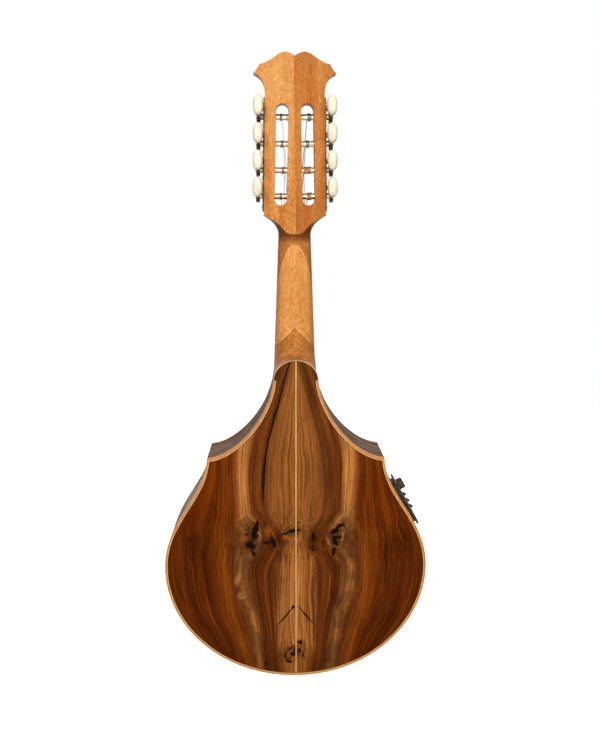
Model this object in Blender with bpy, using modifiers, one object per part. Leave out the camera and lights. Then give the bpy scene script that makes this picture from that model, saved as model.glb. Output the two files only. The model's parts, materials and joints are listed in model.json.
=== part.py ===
"""Eight-string flat-back mandolin with a slotted head and a side preamp.

Frame: +Z to the head, +X to the bass side, the back faces -Y and the strings +Y.
The origin lies in the middle of the neck at the nut line, where a hanger holds it.
"""

import math

import bmesh
import bpy
from mathutils import Matrix, Vector
from mathutils.geometry import interpolate_bezier

MM = 0.001

# Fits
GAP = 0.3 * MM
BORE_CLEARANCE = 0.25 * MM

# Body
BODY_DEPTH = 65.0 * MM
BACK_Y = -57.0 * MM
PLATE_THICKNESS = 2.6 * MM
RIB_THICKNESS = 2.3 * MM
BINDING_WIDTH = 2.3 * MM
BINDING_DEPTH = 4.7 * MM
LINING_WIDTH = 5.0 * MM
LINING_DEPTH = 8.0 * MM
BRACE_WIDTH = 6.0 * MM
BACK_BRACES = (-205.0 * MM, -300.0 * MM, -395.0 * MM)
TOP_BRACES = (-205.0 * MM, -300.0 * MM, -385.0 * MM)
STRIP_WIDTH = 1.3 * MM
SHOULDER_X = 22.6 * MM
SHOULDER_Z = -151.4 * MM
POINT_X = 91.2 * MM
POINT_Z = -233.0 * MM
WIDEST_X = 137.0 * MM
WIDEST_Z = -351.8 * MM
TAIL_Z = -475.2 * MM
HEEL_CAP_RISE = 20.3 * MM
UPPER_STEPS = 8
WAIST_STEPS = 8
LOWER_STEPS = 12
UPPER_START_PULL = (3.2 * MM, -37.2 * MM)
UPPER_END_PULL = (-30.6 * MM, 1.8 * MM)
WAIST_START_PULL = (2.6 * MM, -43.5 * MM)
WAIST_END_PULL = (0.0, 53.0 * MM)
LOWER_START_PULL = (0.0, -66.3 * MM)
LOWER_END_PULL = (77.8 * MM, 0.0)
HOLE_RADIUS = 31.0 * MM
HOLE_Z = -254.0 * MM
HOLE_STEPS = 28

# Bridge and tailpiece
BRIDGE_LENGTH = 112.0 * MM
BRIDGE_WIDTH = 12.0 * MM
BRIDGE_HEIGHT = 6.0 * MM
BRIDGE_EDGE = 1.2 * MM
WING_START = 37.0 * MM
WING_TIP_HEIGHT = 2.4 * MM
WING_TIP_WIDTH = 7.0 * MM
WING_STEPS = 5
SADDLE_LENGTH = 64.0 * MM
SADDLE_WIDTH = 2.6 * MM
SADDLE_SEAT_DEPTH = 3.4 * MM
PICKUP_HEIGHT = 1.0 * MM
TAIL_METAL = 1.2 * MM
TAIL_PLATE_WIDTH = 44.0 * MM
TAIL_BAR_LENGTH = 2.5 * MM
TAIL_BAR_LIP = 1.5 * MM
TAIL_SKIRT = 20.0 * MM

# Strings
SCALE = 345.0 * MM
FRETS = 17
NUT_LENGTH = 4.0 * MM
NUT_HALF_WIDTH = 16.6 * MM
NUT_RISE = 2.1 * MM
SADDLE_RISE = 4.3 * MM
TAIL_RISE = 4.5 * MM
BRIDGE_Z = -SCALE
STRING_END_Z = -432.0 * MM
NUT_COURSE_X = (4.1 * MM, 12.3 * MM)
NUT_PAIR = 1.3 * MM
BRIDGE_COURSE_X = (6.9 * MM, 20.6 * MM)
BRIDGE_PAIR = 1.6 * MM
WINDING_LOOPS = 3.0
LOOP_POINTS = 10
WINDING_GAP = 0.45 * MM
WINDING_START = (18.3 * MM, 20.6 * MM, 19.2 * MM, 17.4 * MM)
STRING_RADIUS = {
    1: (0.46 * MM, 0.36 * MM, 0.36 * MM, 0.46 * MM),
    -1: (0.19 * MM, 0.25 * MM, 0.25 * MM, 0.19 * MM),
}

# Neck
NECK_TAPER = 0.0383
NECK_THICKNESS = 14.7 * MM
NECK_THICKNESS_AT_HEEL = 19.0 * MM
NECK_BACK = BODY_DEPTH - NECK_THICKNESS
NECK_BACK_HEEL = BODY_DEPTH - NECK_THICKNESS_AT_HEEL
FINGERBOARD_THICKNESS = 5.0 * MM
FINGERBOARD_END = -219.5 * MM
FRET_HEIGHT = 1.0 * MM
FRET_WIDTH = 1.2 * MM
VOLUTE_START = -9.5 * MM
VOLUTE_SLOPE = 0.62
VOLUTE_RISE = 15.0 * MM
FLARE_START = -9.0 * MM
FLARE_POWER = 2.3
HEEL_START = -102.0 * MM
HEEL_POWER = 3.2
FOOT_END = -170.0 * MM
FOOT_HALF_WIDTH = 18.6 * MM
FOOT_LAP = 3.0 * MM
HEAD_LAP = 0.4 * MM
NECK_INSET = 0.2 * MM
SHAFT_POWER = 2.5
SECTION_POINTS = 7
VOLUTE_STEPS = 8
HEEL_STEPS = 9
SHOULDER_STEPS = 5

# Head
HEAD_TILT = math.radians(2.0)
HEAD_THICKNESS = 16.5 * MM
VENEER_THICKNESS = 1.8 * MM
HEAD_CORNER_X = 31.95 * MM
HEAD_CORNER_Z = 11.4 * MM
HEAD_SIDE_TOP_X = 29.9 * MM
HEAD_SIDE_TOP_Z = 131.0 * MM
EAR_X = 41.1 * MM
EAR_Z = 150.2 * MM
EAR_SHOULDER_X = 35.2 * MM
EAR_SHOULDER_Z = 158.6 * MM
LOBE_X = 10.0 * MM
LOBE_Z = 170.2 * MM
NOTCH_Z = 166.6 * MM
COVE_START_PULL = (0.2 * MM, 11.0 * MM)
COVE_END_PULL = (-7.5 * MM, -3.0 * MM)
EAR_START_PULL = (-2.4 * MM, 2.2 * MM)
EAR_END_PULL = (1.2 * MM, -3.0 * MM)
CREST_START_PULL = (-11.0 * MM, 1.6 * MM)
CREST_END_PULL = (7.5 * MM, -0.2 * MM)
LOBE_START_PULL = (-4.5 * MM, 0.1 * MM)
LOBE_END_PULL = (1.6 * MM, 0.9 * MM)
COVE_STEPS = 6
EAR_STEPS = 4
CREST_STEPS = 8
LOBE_STEPS = 4
VENEER_END_HALF = 22.0 * MM
SLOT_WIDTH = 12.6 * MM
SLOT_LOW_Z = 22.3 * MM
SLOT_HIGH_Z = 121.7 * MM
SLOT_LOW_X = 14.4 * MM
SLOT_HIGH_X = 12.5 * MM
SLOT_STEPS = 8
RAMP_ANGLE = math.radians(22.0)
RAMP_Z = 7.0 * MM
RAMP_RISE = 3.4 * MM
RAMP_LENGTH = 26.0 * MM
CUT_REACH = 8.0 * MM

# Tuning machines
ROW_Z = 31.7 * MM
ROW_PITCH = 26.0 * MM
ROWS = 4
ROLLER_DEPTH = 10.5 * MM
ROLLER_RADIUS = 3.2 * MM
ROLLER_INNER = 26.0 * MM
BORE_SIDES = 8
MACHINE_OFFSET = 6.1 * MM
MESH_DISTANCE = 8.5 * MM
GEAR_TEETH = 14
GEAR_PITCH_RADIUS = 6.0 * MM
GEAR_WIDTH = 4.0 * MM
ADDENDUM = 0.68 * MM
DEDENDUM = 0.95 * MM
WORM_LENGTH = 6.9 * MM
WORM_STEPS = 7
SHAFT_RADIUS = 1.5 * MM
PLATE_METAL = 1.2 * MM
PLATE_WIDTH = 13.0 * MM
PLATE_LOW = 16.0 * MM
PLATE_HIGH = 128.0 * MM
BLOCK_LENGTH = 2.7 * MM
BLOCK_HEIGHT = 4.6 * MM
BUTTON_FACE = 33.0 * MM
BUTTON_LENGTH = 13.0 * MM
BUTTON_HEIGHT = 19.6 * MM
BUTTON_THICKNESS = 9.2 * MM
BUTTON_EDGE = 2.4 * MM
GEAR_HUB_RADIUS = 2.3 * MM
GEAR_HUB_HEIGHT = 1.0 * MM
SHAFT_END = 1.2 * MM

# Preamp
PANEL_LENGTH = 53.0 * MM
PANEL_WIDTH = 33.0 * MM
PANEL_THICKNESS = 2.4 * MM
PANEL_EDGE = 0.7 * MM
PANEL_DEPTH = BODY_DEPTH / 2
PANEL_Z = -289.5 * MM
BOX_LENGTH = 46.0 * MM
BOX_WIDTH = 27.0 * MM
BOX_HEIGHT = 20.0 * MM
BOX_LAP = 1.0 * MM
KNOB_FROM_END = 9.0 * MM
KNOB_RADIUS = 6.3 * MM
KNOB_HEIGHT = 6.2 * MM
KNOB_EDGE = 0.9 * MM
KNOB_STEM_RADIUS = 2.4 * MM
KNOB_STEM_DEPTH = 4.0 * MM
SLIDERS = 3
SLIDER_FROM_KNOB = 12.1 * MM
SLIDER_PITCH = 7.7 * MM
SLIDER_TRAVEL = 5.5 * MM
SLIDER_CAP_HEIGHT = 2.6 * MM
SLIDER_CAP_WIDTH = 4.4 * MM
SLIDER_CAP_LENGTH = 4.6 * MM
SLIDER_FIN_TIP = 0.8 * MM
SLIDER_STEM_LENGTH = 2.4 * MM
SLIDER_STEM_WIDTH = 1.1 * MM
SLIDER_SLOT_DEPTH = 4.0 * MM
SLIDER_CLEARANCE = 0.35 * MM

# Fittings
JACK_DEPTH = BODY_DEPTH / 2
JACK_PLUG_RADIUS = 3.3 * MM
JACK_PLUG_DEPTH = 28.0 * MM
JACK_BARREL_RADIUS = 6.0 * MM
JACK_LENGTH = 34.0 * MM
JACK_RIM_RADIUS = 9.5 * MM
JACK_RIM_HEIGHT = 5.0 * MM
JACK_RIM_EDGE = 1.0 * MM
TAIL_BLOCK_WIDTH = 60.0 * MM
TAIL_BLOCK_LENGTH = 18.0 * MM
TAIL_BLOCK_SETBACK = 3.0 * MM
BATTERY_SIZE = (48.5 * MM, 17.5 * MM, 26.5 * MM)
BATTERY_EDGE = 1.0 * MM
BATTERY_X = 45.0 * MM
BATTERY_Z = -350.0 * MM


def clear_scene():
    for obj in list(bpy.data.objects):
        bpy.data.objects.remove(obj, do_unlink=True)


def new_collection(name):
    group = bpy.data.collections.new(name)
    bpy.context.scene.collection.children.link(group)
    return group


clear_scene()
PARTS = new_collection("acoustic_electric_mandolin")
CUTTERS = new_collection("cutters")


def new_material(name, color, roughness, metallic=0.0):
    mat = bpy.data.materials.new(name)
    mat.use_nodes = True
    shader = mat.node_tree.nodes["Principled BSDF"]
    shader.inputs["Base Color"].default_value = (*color, 1.0)
    shader.inputs["Roughness"].default_value = roughness
    shader.inputs["Metallic"].default_value = metallic
    mat.diffuse_color = (*color, 1.0)
    return mat


NECK_WOOD = new_material("neck_wood", (0.60, 0.25, 0.07), 0.35)
BACK_WOOD = new_material("back_wood", (0.17, 0.055, 0.014), 0.25)
RIB_WOOD = new_material("rib_wood", (0.09, 0.04, 0.02), 0.25)
BINDING_WOOD = new_material("binding_wood", (0.70, 0.36, 0.13), 0.35)
TOP_WOOD = new_material("top_wood", (0.72, 0.46, 0.20), 0.35)
DARK_WOOD = new_material("dark_wood", (0.03, 0.017, 0.011), 0.45)
INNER_WOOD = new_material("inner_wood", (0.62, 0.42, 0.24), 0.7)
STEEL = new_material("steel", (0.55, 0.53, 0.50), 0.3, 1.0)
BRASS = new_material("worn_brass", (0.36, 0.24, 0.12), 0.35, 1.0)
COPPER = new_material("wound_copper", (0.60, 0.28, 0.12), 0.35, 1.0)
IVORY = new_material("ivory_plastic", (0.80, 0.74, 0.60), 0.3)
BLACK = new_material("black_plastic", (0.025, 0.02, 0.018), 0.5)


def adopt(obj, mat=None, group=None):
    for old in list(obj.users_collection):
        old.objects.unlink(obj)
    (group or PARTS).objects.link(obj)
    if mat is not None:
        obj.data.materials.clear()
        obj.data.materials.append(mat)
    return obj


def helper(obj):
    adopt(obj, None, CUTTERS)
    obj.hide_render = True
    obj.display_type = "WIRE"
    return obj


def weld(mesh, distance=0.00001):
    shape = bmesh.new()
    shape.from_mesh(mesh)
    bmesh.ops.remove_doubles(shape, verts=shape.verts, dist=distance)
    bmesh.ops.recalc_face_normals(shape, faces=shape.faces)
    shape.to_mesh(mesh)
    shape.free()


def smooth(mesh, angle=35.0):
    mesh.shade_smooth()
    mesh.set_sharp_from_angle(angle=math.radians(angle))


def as_mesh(obj, mat):
    """Turn a curve or a modified mesh into a plain welded mesh in the same place."""
    bpy.context.view_layer.update()
    source = obj.evaluated_get(bpy.context.evaluated_depsgraph_get())
    mesh = bpy.data.meshes.new_from_object(source)
    weld(mesh)
    name = obj.name
    matrix = obj.matrix_world.copy()
    parent = obj.parent
    bpy.data.objects.remove(obj, do_unlink=True)
    solid = bpy.data.objects.new(name, mesh)
    PARTS.objects.link(solid)
    solid.parent = parent
    solid.matrix_world = matrix
    mesh.materials.clear()
    mesh.materials.append(mat)
    return solid


def combine(target, tool, operation):
    helper(tool)
    modifier = target.modifiers.new(operation.lower(), "BOOLEAN")
    modifier.operation = operation
    modifier.solver = "EXACT"
    modifier.object = tool
    return target


def cut(target, *tools):
    for tool in tools:
        combine(target, tool, "DIFFERENCE")


def fuse(target, *tools):
    for tool in tools:
        combine(target, tool, "UNION")


def place(x, depth, z):
    """World point at a given depth, measured forward from the back's outer face."""
    return Vector((x, BACK_Y + depth, z))


def extrusion(name, loops, width, matrix, mat):
    """Closed outlines in a frame's X and Y, drawn out evenly to both sides along its Z."""
    curve = bpy.data.curves.new(name, "CURVE")
    curve.dimensions = "2D"
    curve.fill_mode = "BOTH"
    curve.extrude = width / 2
    for loop in loops:
        spline = curve.splines.new("POLY")
        spline.points.add(len(loop) - 1)
        for point, (first, second) in zip(spline.points, loop):
            point.co = (first, second, 0.0, 1.0)
        spline.use_cyclic_u = True
    obj = bpy.data.objects.new(name, curve)
    PARTS.objects.link(obj)
    obj.matrix_world = matrix
    return as_mesh(obj, mat)


def slab(name, loops, depth_back, depth_front, mat):
    """Flat piece parallel to the back, from closed outlines in X and Z."""
    center = Matrix.Translation(place(0.0, (depth_back + depth_front) / 2, 0.0))
    upright = Matrix.Rotation(math.radians(90), 4, "X")
    return extrusion(name, loops, depth_front - depth_back, center @ upright, mat)


def box(name, size, center, mat, matrix=None, bevel=0.0):
    """Box of the given size, with its centre in world space or in a local frame."""
    bpy.ops.mesh.primitive_cube_add(size=1.0)
    obj = bpy.context.active_object
    obj.name = name
    obj.data.name = name
    obj.data.transform(Matrix.Diagonal((*size, 1.0)))
    frame = matrix if matrix is not None else Matrix.Identity(4)
    obj.matrix_world = frame @ Matrix.Translation(center)
    adopt(obj, mat)
    if bevel > 0.0:
        edge = obj.modifiers.new("bevel", "BEVEL")
        edge.width = bevel
        edge.segments = 1
        edge.limit_method = "ANGLE"
    return obj


def cylinder(name, radius, length, matrix, mat, sides=16):
    """Cylinder along the local Z axis of a frame, centred on it."""
    bpy.ops.mesh.primitive_cylinder_add(vertices=sides, radius=radius, depth=length)
    obj = bpy.context.active_object
    obj.name = name
    obj.data.name = name
    obj.matrix_world = matrix
    adopt(obj, mat)
    return obj


def turned(name, profile, matrix, mat, sides=16):
    """Turned piece about local Z; the profile runs from its top to its bottom."""
    mesh = bpy.data.meshes.new(name)
    shape = bmesh.new()
    points = [shape.verts.new((radius, 0.0, height)) for radius, height in profile]
    for first, second in zip(points, points[1:]):
        shape.edges.new((first, second))
    shape.to_mesh(mesh)
    shape.free()
    obj = bpy.data.objects.new(name, mesh)
    PARTS.objects.link(obj)
    screw = obj.modifiers.new("turn", "SCREW")
    screw.steps = sides
    screw.render_steps = sides
    screw.use_merge_vertices = True
    screw.merge_threshold = 0.00001
    obj.matrix_world = matrix
    return as_mesh(obj, mat)


def tube(name, points, radius, mat, resolution=1):
    curve = bpy.data.curves.new(name, "CURVE")
    curve.dimensions = "3D"
    curve.bevel_depth = radius
    curve.bevel_resolution = resolution
    curve.use_fill_caps = True
    spline = curve.splines.new("POLY")
    spline.points.add(len(points) - 1)
    for point, co in zip(spline.points, points):
        point.co = (*co, 1.0)
    obj = bpy.data.objects.new(name, curve)
    PARTS.objects.link(obj)
    return as_mesh(obj, mat)


def loft(name, sections, matrix, mat):
    """Closed skin over rings of equal point counts, with a flat face at each end."""
    mesh = bpy.data.meshes.new(name)
    shape = bmesh.new()
    rings = [[shape.verts.new(point) for point in ring] for ring in sections]
    count = len(rings[0])
    for low, high in zip(rings, rings[1:]):
        for index in range(count):
            after = (index + 1) % count
            shape.faces.new((low[index], low[after], high[after], high[index]))
    shape.faces.new(list(reversed(rings[0])))
    shape.faces.new(rings[-1])
    bmesh.ops.remove_doubles(shape, verts=shape.verts, dist=0.00001)
    bmesh.ops.triangulate(shape, faces=shape.faces)
    bmesh.ops.recalc_face_normals(shape, faces=shape.faces)
    shape.to_mesh(mesh)
    shape.free()
    obj = bpy.data.objects.new(name, mesh)
    obj.matrix_world = matrix
    adopt(obj, mat)
    return obj


def arc_points(start, start_pull, end_pull, end, steps):
    """Points along one smooth curve, without the last one; each end has its own pull."""
    first = Vector((*start, 0.0))
    last = Vector((*end, 0.0))
    first_handle = first + Vector((*start_pull, 0.0))
    last_handle = last + Vector((*end_pull, 0.0))
    curve = interpolate_bezier(first, first_handle, last_handle, last, steps + 1)
    return [(point.x, point.y) for point in curve[:-1]]


def body_half():
    """Right half of the body outline, from the shoulder to the tail."""
    shoulder = (SHOULDER_X, SHOULDER_Z)
    point = (POINT_X, POINT_Z)
    widest = (WIDEST_X, WIDEST_Z)
    tail = (0.0, TAIL_Z)
    upper = arc_points(shoulder, UPPER_START_PULL, UPPER_END_PULL, point, UPPER_STEPS)
    waist = arc_points(point, WAIST_START_PULL, WAIST_END_PULL, widest, WAIST_STEPS)
    lower = arc_points(widest, LOWER_START_PULL, LOWER_END_PULL, tail, LOWER_STEPS)
    return upper + waist + lower + [tail]


OUTLINE = body_half()


def outline_x(z):
    """Half width of the body at a given height."""
    for first, second in zip(OUTLINE, OUTLINE[1:]):
        if first[1] >= z >= second[1]:
            share = (first[1] - z) / (first[1] - second[1])
            return first[0] + (second[0] - first[0]) * share
    return 0.0


def inset(amount, start_z=SHOULDER_Z - GAP):
    """Body outline moved inward, cut off at the neck end."""
    count = len(OUTLINE)
    moved = []
    for index, (x, z) in enumerate(OUTLINE):
        before = OUTLINE[max(index - 1, 0)]
        after = OUTLINE[min(index + 1, count - 1)]
        sides = []
        for a, b in ((before, (x, z)), ((x, z), after)):
            dx, dz = b[0] - a[0], b[1] - a[1]
            length = math.hypot(dx, dz)
            if length > 0.0:
                sides.append((dz / length, -dx / length))
        if index == count - 1:
            moved.append((0.0, z + amount))
            continue
        nx = sum(side[0] for side in sides)
        nz = sum(side[1] for side in sides)
        scale = len(sides) / (nx * nx + nz * nz)
        moved.append((x + nx * scale * amount, z + nz * scale * amount))
    below = next(i for i, point in enumerate(moved) if point[1] < start_z)
    first, second = moved[below - 1], moved[below]
    share = (first[1] - start_z) / (first[1] - second[1])
    start = (first[0] + (second[0] - first[0]) * share, start_z)
    return [start] + moved[below:]


def mirrored(points):
    return [(-x, z) for x, z in points]


def full_loop(half):
    """Both halves as one closed outline; the neck end is a straight edge."""
    return half + mirrored(half[:-1])[::-1]


def horseshoe(outer, inner):
    """Open ring that runs from one side of the neck round to the other."""
    return (
        outer
        + mirrored(outer[:-1])[::-1]
        + mirrored(inner)
        + inner[:-1][::-1]
    )


def heel_arch(steps=10):
    """Right half of the round end of the back, from its top to the shoulder."""
    points = []
    for index in range(steps + 1):
        angle = math.pi / 2 * (1 - index / steps)
        x = SHOULDER_X * math.cos(angle)
        z = SHOULDER_Z + HEEL_CAP_RISE * math.sin(angle)
        points.append((x, z))
    return points


def circle(x, z, radius, steps):
    turn = 2 * math.pi / steps
    return [
        (x + radius * math.cos(turn * i), z + radius * math.sin(turn * i))
        for i in range(steps)
    ]


STRING_AT_NUT = BODY_DEPTH + GAP + FINGERBOARD_THICKNESS + NUT_RISE
STRING_AT_BRIDGE = BODY_DEPTH + GAP + BRIDGE_HEIGHT + SADDLE_RISE
STRING_AT_TAIL = BODY_DEPTH + GAP + TAIL_METAL + TAIL_RISE
PLATE_INSET = BINDING_WIDTH + GAP
PLATE_HALF = inset(PLATE_INSET)
RIB_LOW = BINDING_DEPTH + GAP
RIB_HIGH = BODY_DEPTH - BINDING_DEPTH - GAP
TOP_INNER = BODY_DEPTH - PLATE_THICKNESS
LINING_INSET = RIB_THICKNESS + GAP


def build_back():
    edge = STRIP_WIDTH / 2 + GAP
    arch = heel_arch()
    low = [(max(x, edge), z) for x, z in arch]
    half = low + PLATE_HALF[:-1]
    tail_z = PLATE_HALF[-1][1]
    half = [(edge, low[0][1])] + half[1:] + [(edge, tail_z)]
    slab("back_right", [half], 0.0, PLATE_THICKNESS, BACK_WOOD)
    slab("back_left", [mirrored(half)], 0.0, PLATE_THICKNESS, BACK_WOOD)
    top_z = SHOULDER_Z + HEEL_CAP_RISE
    x = STRIP_WIDTH / 2
    strip = [(-x, top_z), (x, top_z), (x, tail_z), (-x, tail_z)]
    slab("back_strip", [strip], 0.0, PLATE_THICKNESS, BINDING_WOOD)
    ring = horseshoe(inset(0.0), inset(BINDING_WIDTH))
    slab("back_binding", [ring], 0.0, BINDING_DEPTH, BINDING_WOOD)


def build_ribs():
    outer = inset(0.0)
    inner = inset(RIB_THICKNESS)
    half_gap = GAP / 2
    right = outer[:-1] + [(half_gap, outer[-1][1]), (half_gap, inner[-1][1])]
    right = right + inner[:-1][::-1]
    ribs = {
        "rib_right": slab("rib_right", [right], RIB_LOW, RIB_HIGH, RIB_WOOD),
        "rib_left": slab("rib_left", [mirrored(right)], RIB_LOW, RIB_HIGH, RIB_WOOD),
    }
    return ribs


def build_frame(name, depth_low, braces):
    """Lining ring with cross braces let into it."""
    depth_high = depth_low + LINING_DEPTH
    start = FOOT_END - GAP
    outer = inset(LINING_INSET, start)
    inner = inset(LINING_INSET + LINING_WIDTH, start)
    ring = horseshoe(outer, inner)
    frame = slab(name, [ring], depth_low, depth_high, INNER_WOOD)
    for index, z in enumerate(braces):
        ends = (outline_x(z - BRACE_WIDTH / 2), outline_x(z + BRACE_WIDTH / 2))
        reach = min(ends) - LINING_INSET - LINING_WIDTH / 2
        size = (2 * reach, LINING_DEPTH, BRACE_WIDTH)
        center = place(0.0, (depth_low + depth_high) / 2, z)
        fuse(frame, box("%s_brace_%d" % (name, index), size, center, INNER_WOOD))
    return frame


def build_top():
    loops = [full_loop(PLATE_HALF), circle(0.0, HOLE_Z, HOLE_RADIUS, HOLE_STEPS)]
    slab("top_plate", loops, TOP_INNER, BODY_DEPTH, TOP_WOOD)
    ring = horseshoe(inset(0.0), inset(BINDING_WIDTH))
    slab("top_binding", [ring], BODY_DEPTH - BINDING_DEPTH, BODY_DEPTH, BINDING_WOOD)


def head_back_depth(z):
    return BODY_DEPTH - HEAD_THICKNESS - z * math.tan(HEAD_TILT)


def front_depth(z):
    """Depth of the neck's flat front; past the nut line it leans away under the head."""
    past_nut = max(z, 0.0)
    inset = NECK_INSET * past_nut / HEAD_CORNER_Z
    return BODY_DEPTH - past_nut * math.tan(HEAD_TILT) - inset


def neck_half_width(z):
    straight = NUT_HALF_WIDTH - z * NECK_TAPER
    if z <= FLARE_START:
        return straight
    share = min((z - FLARE_START) / (HEAD_CORNER_Z - FLARE_START), 1.0)
    base = NUT_HALF_WIDTH - FLARE_START * NECK_TAPER
    return base + (HEAD_CORNER_X - NECK_INSET - base) * share ** FLARE_POWER


def neck_back(z):
    """Depth of the middle of the neck's rounded back, before the heel."""
    if z > VOLUTE_START:
        rise = VOLUTE_SLOPE * (z - VOLUTE_START)
        if z > 0.0:
            rise += VOLUTE_RISE * (z / HEAD_CORNER_Z) ** 3
        return NECK_BACK - rise
    share = (z - VOLUTE_START) / (HEEL_START - VOLUTE_START)
    return NECK_BACK + (NECK_BACK_HEEL - NECK_BACK) * min(share, 1.0)


HEEL_LOW = PLATE_THICKNESS + GAP
HEEL_TOP = SHOULDER_Z + HEEL_CAP_RISE


def heel_apex(depth):
    """How far up the neck the heel reaches at a given depth."""
    share = max(0.0, (depth - HEEL_LOW) / (NECK_BACK_HEEL - HEEL_LOW))
    return HEEL_TOP + (HEEL_START - HEEL_TOP) * share ** HEEL_POWER


def shaft_half(z, depth):
    back = neck_back(z)
    share = (BODY_DEPTH - depth) / (BODY_DEPTH - back)
    if share >= 1.0:
        return 0.0
    round_off = (1.0 - max(share, 0.0) ** SHAFT_POWER) ** (1 / SHAFT_POWER)
    return neck_half_width(z) * round_off


def heel_half(z, depth):
    apex = heel_apex(min(depth, NECK_BACK_HEEL))
    share = (z - SHOULDER_Z) / (apex - SHOULDER_Z)
    if share >= 1.0:
        return 0.0
    return neck_half_width(SHOULDER_Z) * math.sqrt(1.0 - max(share, 0.0) ** 2)


def neck_half(z, depth):
    return max(shaft_half(z, depth), heel_half(z, depth) if z < HEEL_START else 0.0)


def neck_ring(z):
    """One cross-section of the neck, from its back to its flat front."""
    floor = max(HEEL_LOW, head_back_depth(z)) if z > VOLUTE_START else HEEL_LOW
    low = floor
    if neck_half(z, floor) <= 0.0:
        high = BODY_DEPTH - 1.0 * MM
        for _ in range(40):
            middle = (low + high) / 2
            if neck_half(z, middle) > 0.0:
                high = middle
            else:
                low = middle
        low = high
    side = []
    for index in range(SECTION_POINTS):
        share = (index / (SECTION_POINTS - 1)) ** 1.7
        depth = low + (front_depth(z) - low) * share
        side.append((neck_half(z, depth), depth))
    left = [place(-x, depth, z) for x, depth in side]
    right = [place(x, depth, z) for x, depth in reversed(side)]
    return left + right


def head_half():
    """Right half of the head outline, from its lower corner to the top notch."""
    corner = (HEAD_CORNER_X, HEAD_CORNER_Z)
    side_top = (HEAD_SIDE_TOP_X, HEAD_SIDE_TOP_Z)
    ear = (EAR_X, EAR_Z)
    shoulder = (EAR_SHOULDER_X, EAR_SHOULDER_Z)
    lobe = (LOBE_X, LOBE_Z)
    notch = (0.0, NOTCH_Z)
    cove = arc_points(side_top, COVE_START_PULL, COVE_END_PULL, ear, COVE_STEPS)
    tip = arc_points(ear, EAR_START_PULL, EAR_END_PULL, shoulder, EAR_STEPS)
    crest = arc_points(shoulder, CREST_START_PULL, CREST_END_PULL, lobe, CREST_STEPS)
    top = arc_points(lobe, LOBE_START_PULL, LOBE_END_PULL, notch, LOBE_STEPS)
    return [corner] + cove + tip + crest + top + [notch]


def head_lean():
    """Lean of the head about the front edge of the neck at the nut line."""
    pivot = place(0.0, BODY_DEPTH, 0.0)
    turn = Matrix.Rotation(HEAD_TILT, 4, "X")
    return Matrix.Translation(pivot) @ turn @ Matrix.Translation(-pivot)


def tilted(obj):
    obj.matrix_world = head_lean() @ obj.matrix_world
    return obj


def slot_cutter(name, side):
    """Round-ended slot; it leans with the side of the head."""
    radius = SLOT_WIDTH / 2
    low = Vector((side * SLOT_LOW_X, SLOT_LOW_Z + radius))
    high = Vector((side * SLOT_HIGH_X, SLOT_HIGH_Z - radius))
    along = (high - low).normalized()
    across = Vector((along.y, -along.x))
    loop = []
    for center, turn in ((high, 0.0), (low, math.pi)):
        for index in range(SLOT_STEPS + 1):
            angle = turn + math.pi * index / SLOT_STEPS
            offset = across * math.cos(angle) + along * math.sin(angle)
            point = center + offset * radius
            loop.append((point.x, point.y))
    low_depth = BODY_DEPTH - HEAD_THICKNESS - CUT_REACH
    cutter = slab(name, [loop], low_depth, BODY_DEPTH + CUT_REACH, DARK_WOOD)
    return tilted(cutter)


def ramp_cutter(name, side):
    """Slope under the lowest strings, at the nut end of a slot."""
    size = (SLOT_WIDTH * 0.9, CUT_REACH, RAMP_LENGTH)
    pivot = place(side * SLOT_LOW_X, BODY_DEPTH + RAMP_RISE, RAMP_Z)
    frame = Matrix.Translation(pivot) @ Matrix.Rotation(RAMP_ANGLE, 4, "X")
    return box(name, size, (0.0, size[1] / 2, size[2] / 2), DARK_WOOD, frame)


def machine_frame(side):
    """Frame on the side of the head: X out of the wood, Z along the plate."""
    run = HEAD_SIDE_TOP_Z - HEAD_CORNER_Z
    slant = math.atan2(HEAD_CORNER_X - HEAD_SIDE_TOP_X, run)
    share = (ROW_Z - HEAD_CORNER_Z) / run
    x = HEAD_CORNER_X + (HEAD_SIDE_TOP_X - HEAD_CORNER_X) * share
    depth = BODY_DEPTH - HEAD_THICKNESS + ROLLER_DEPTH
    spot = Matrix.Translation(place(side * x, depth, ROW_Z))
    return head_lean() @ spot @ Matrix.Rotation(-side * slant, 4, "Y")


TO_X = Matrix.Rotation(math.radians(90), 4, "Y")
TO_Y = Matrix.Rotation(math.radians(-90), 4, "X")
FIN_AXES = Matrix(((1, 0, 0, 0), (0, 0, -1, 0), (0, 1, 0, 0), (0, 0, 0, 1)))


def eased(first, last, steps, power):
    """Places from first to last that crowd towards the first where the power is above 1."""
    return [first + (last - first) * (index / steps) ** power for index in range(steps + 1)]


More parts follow.
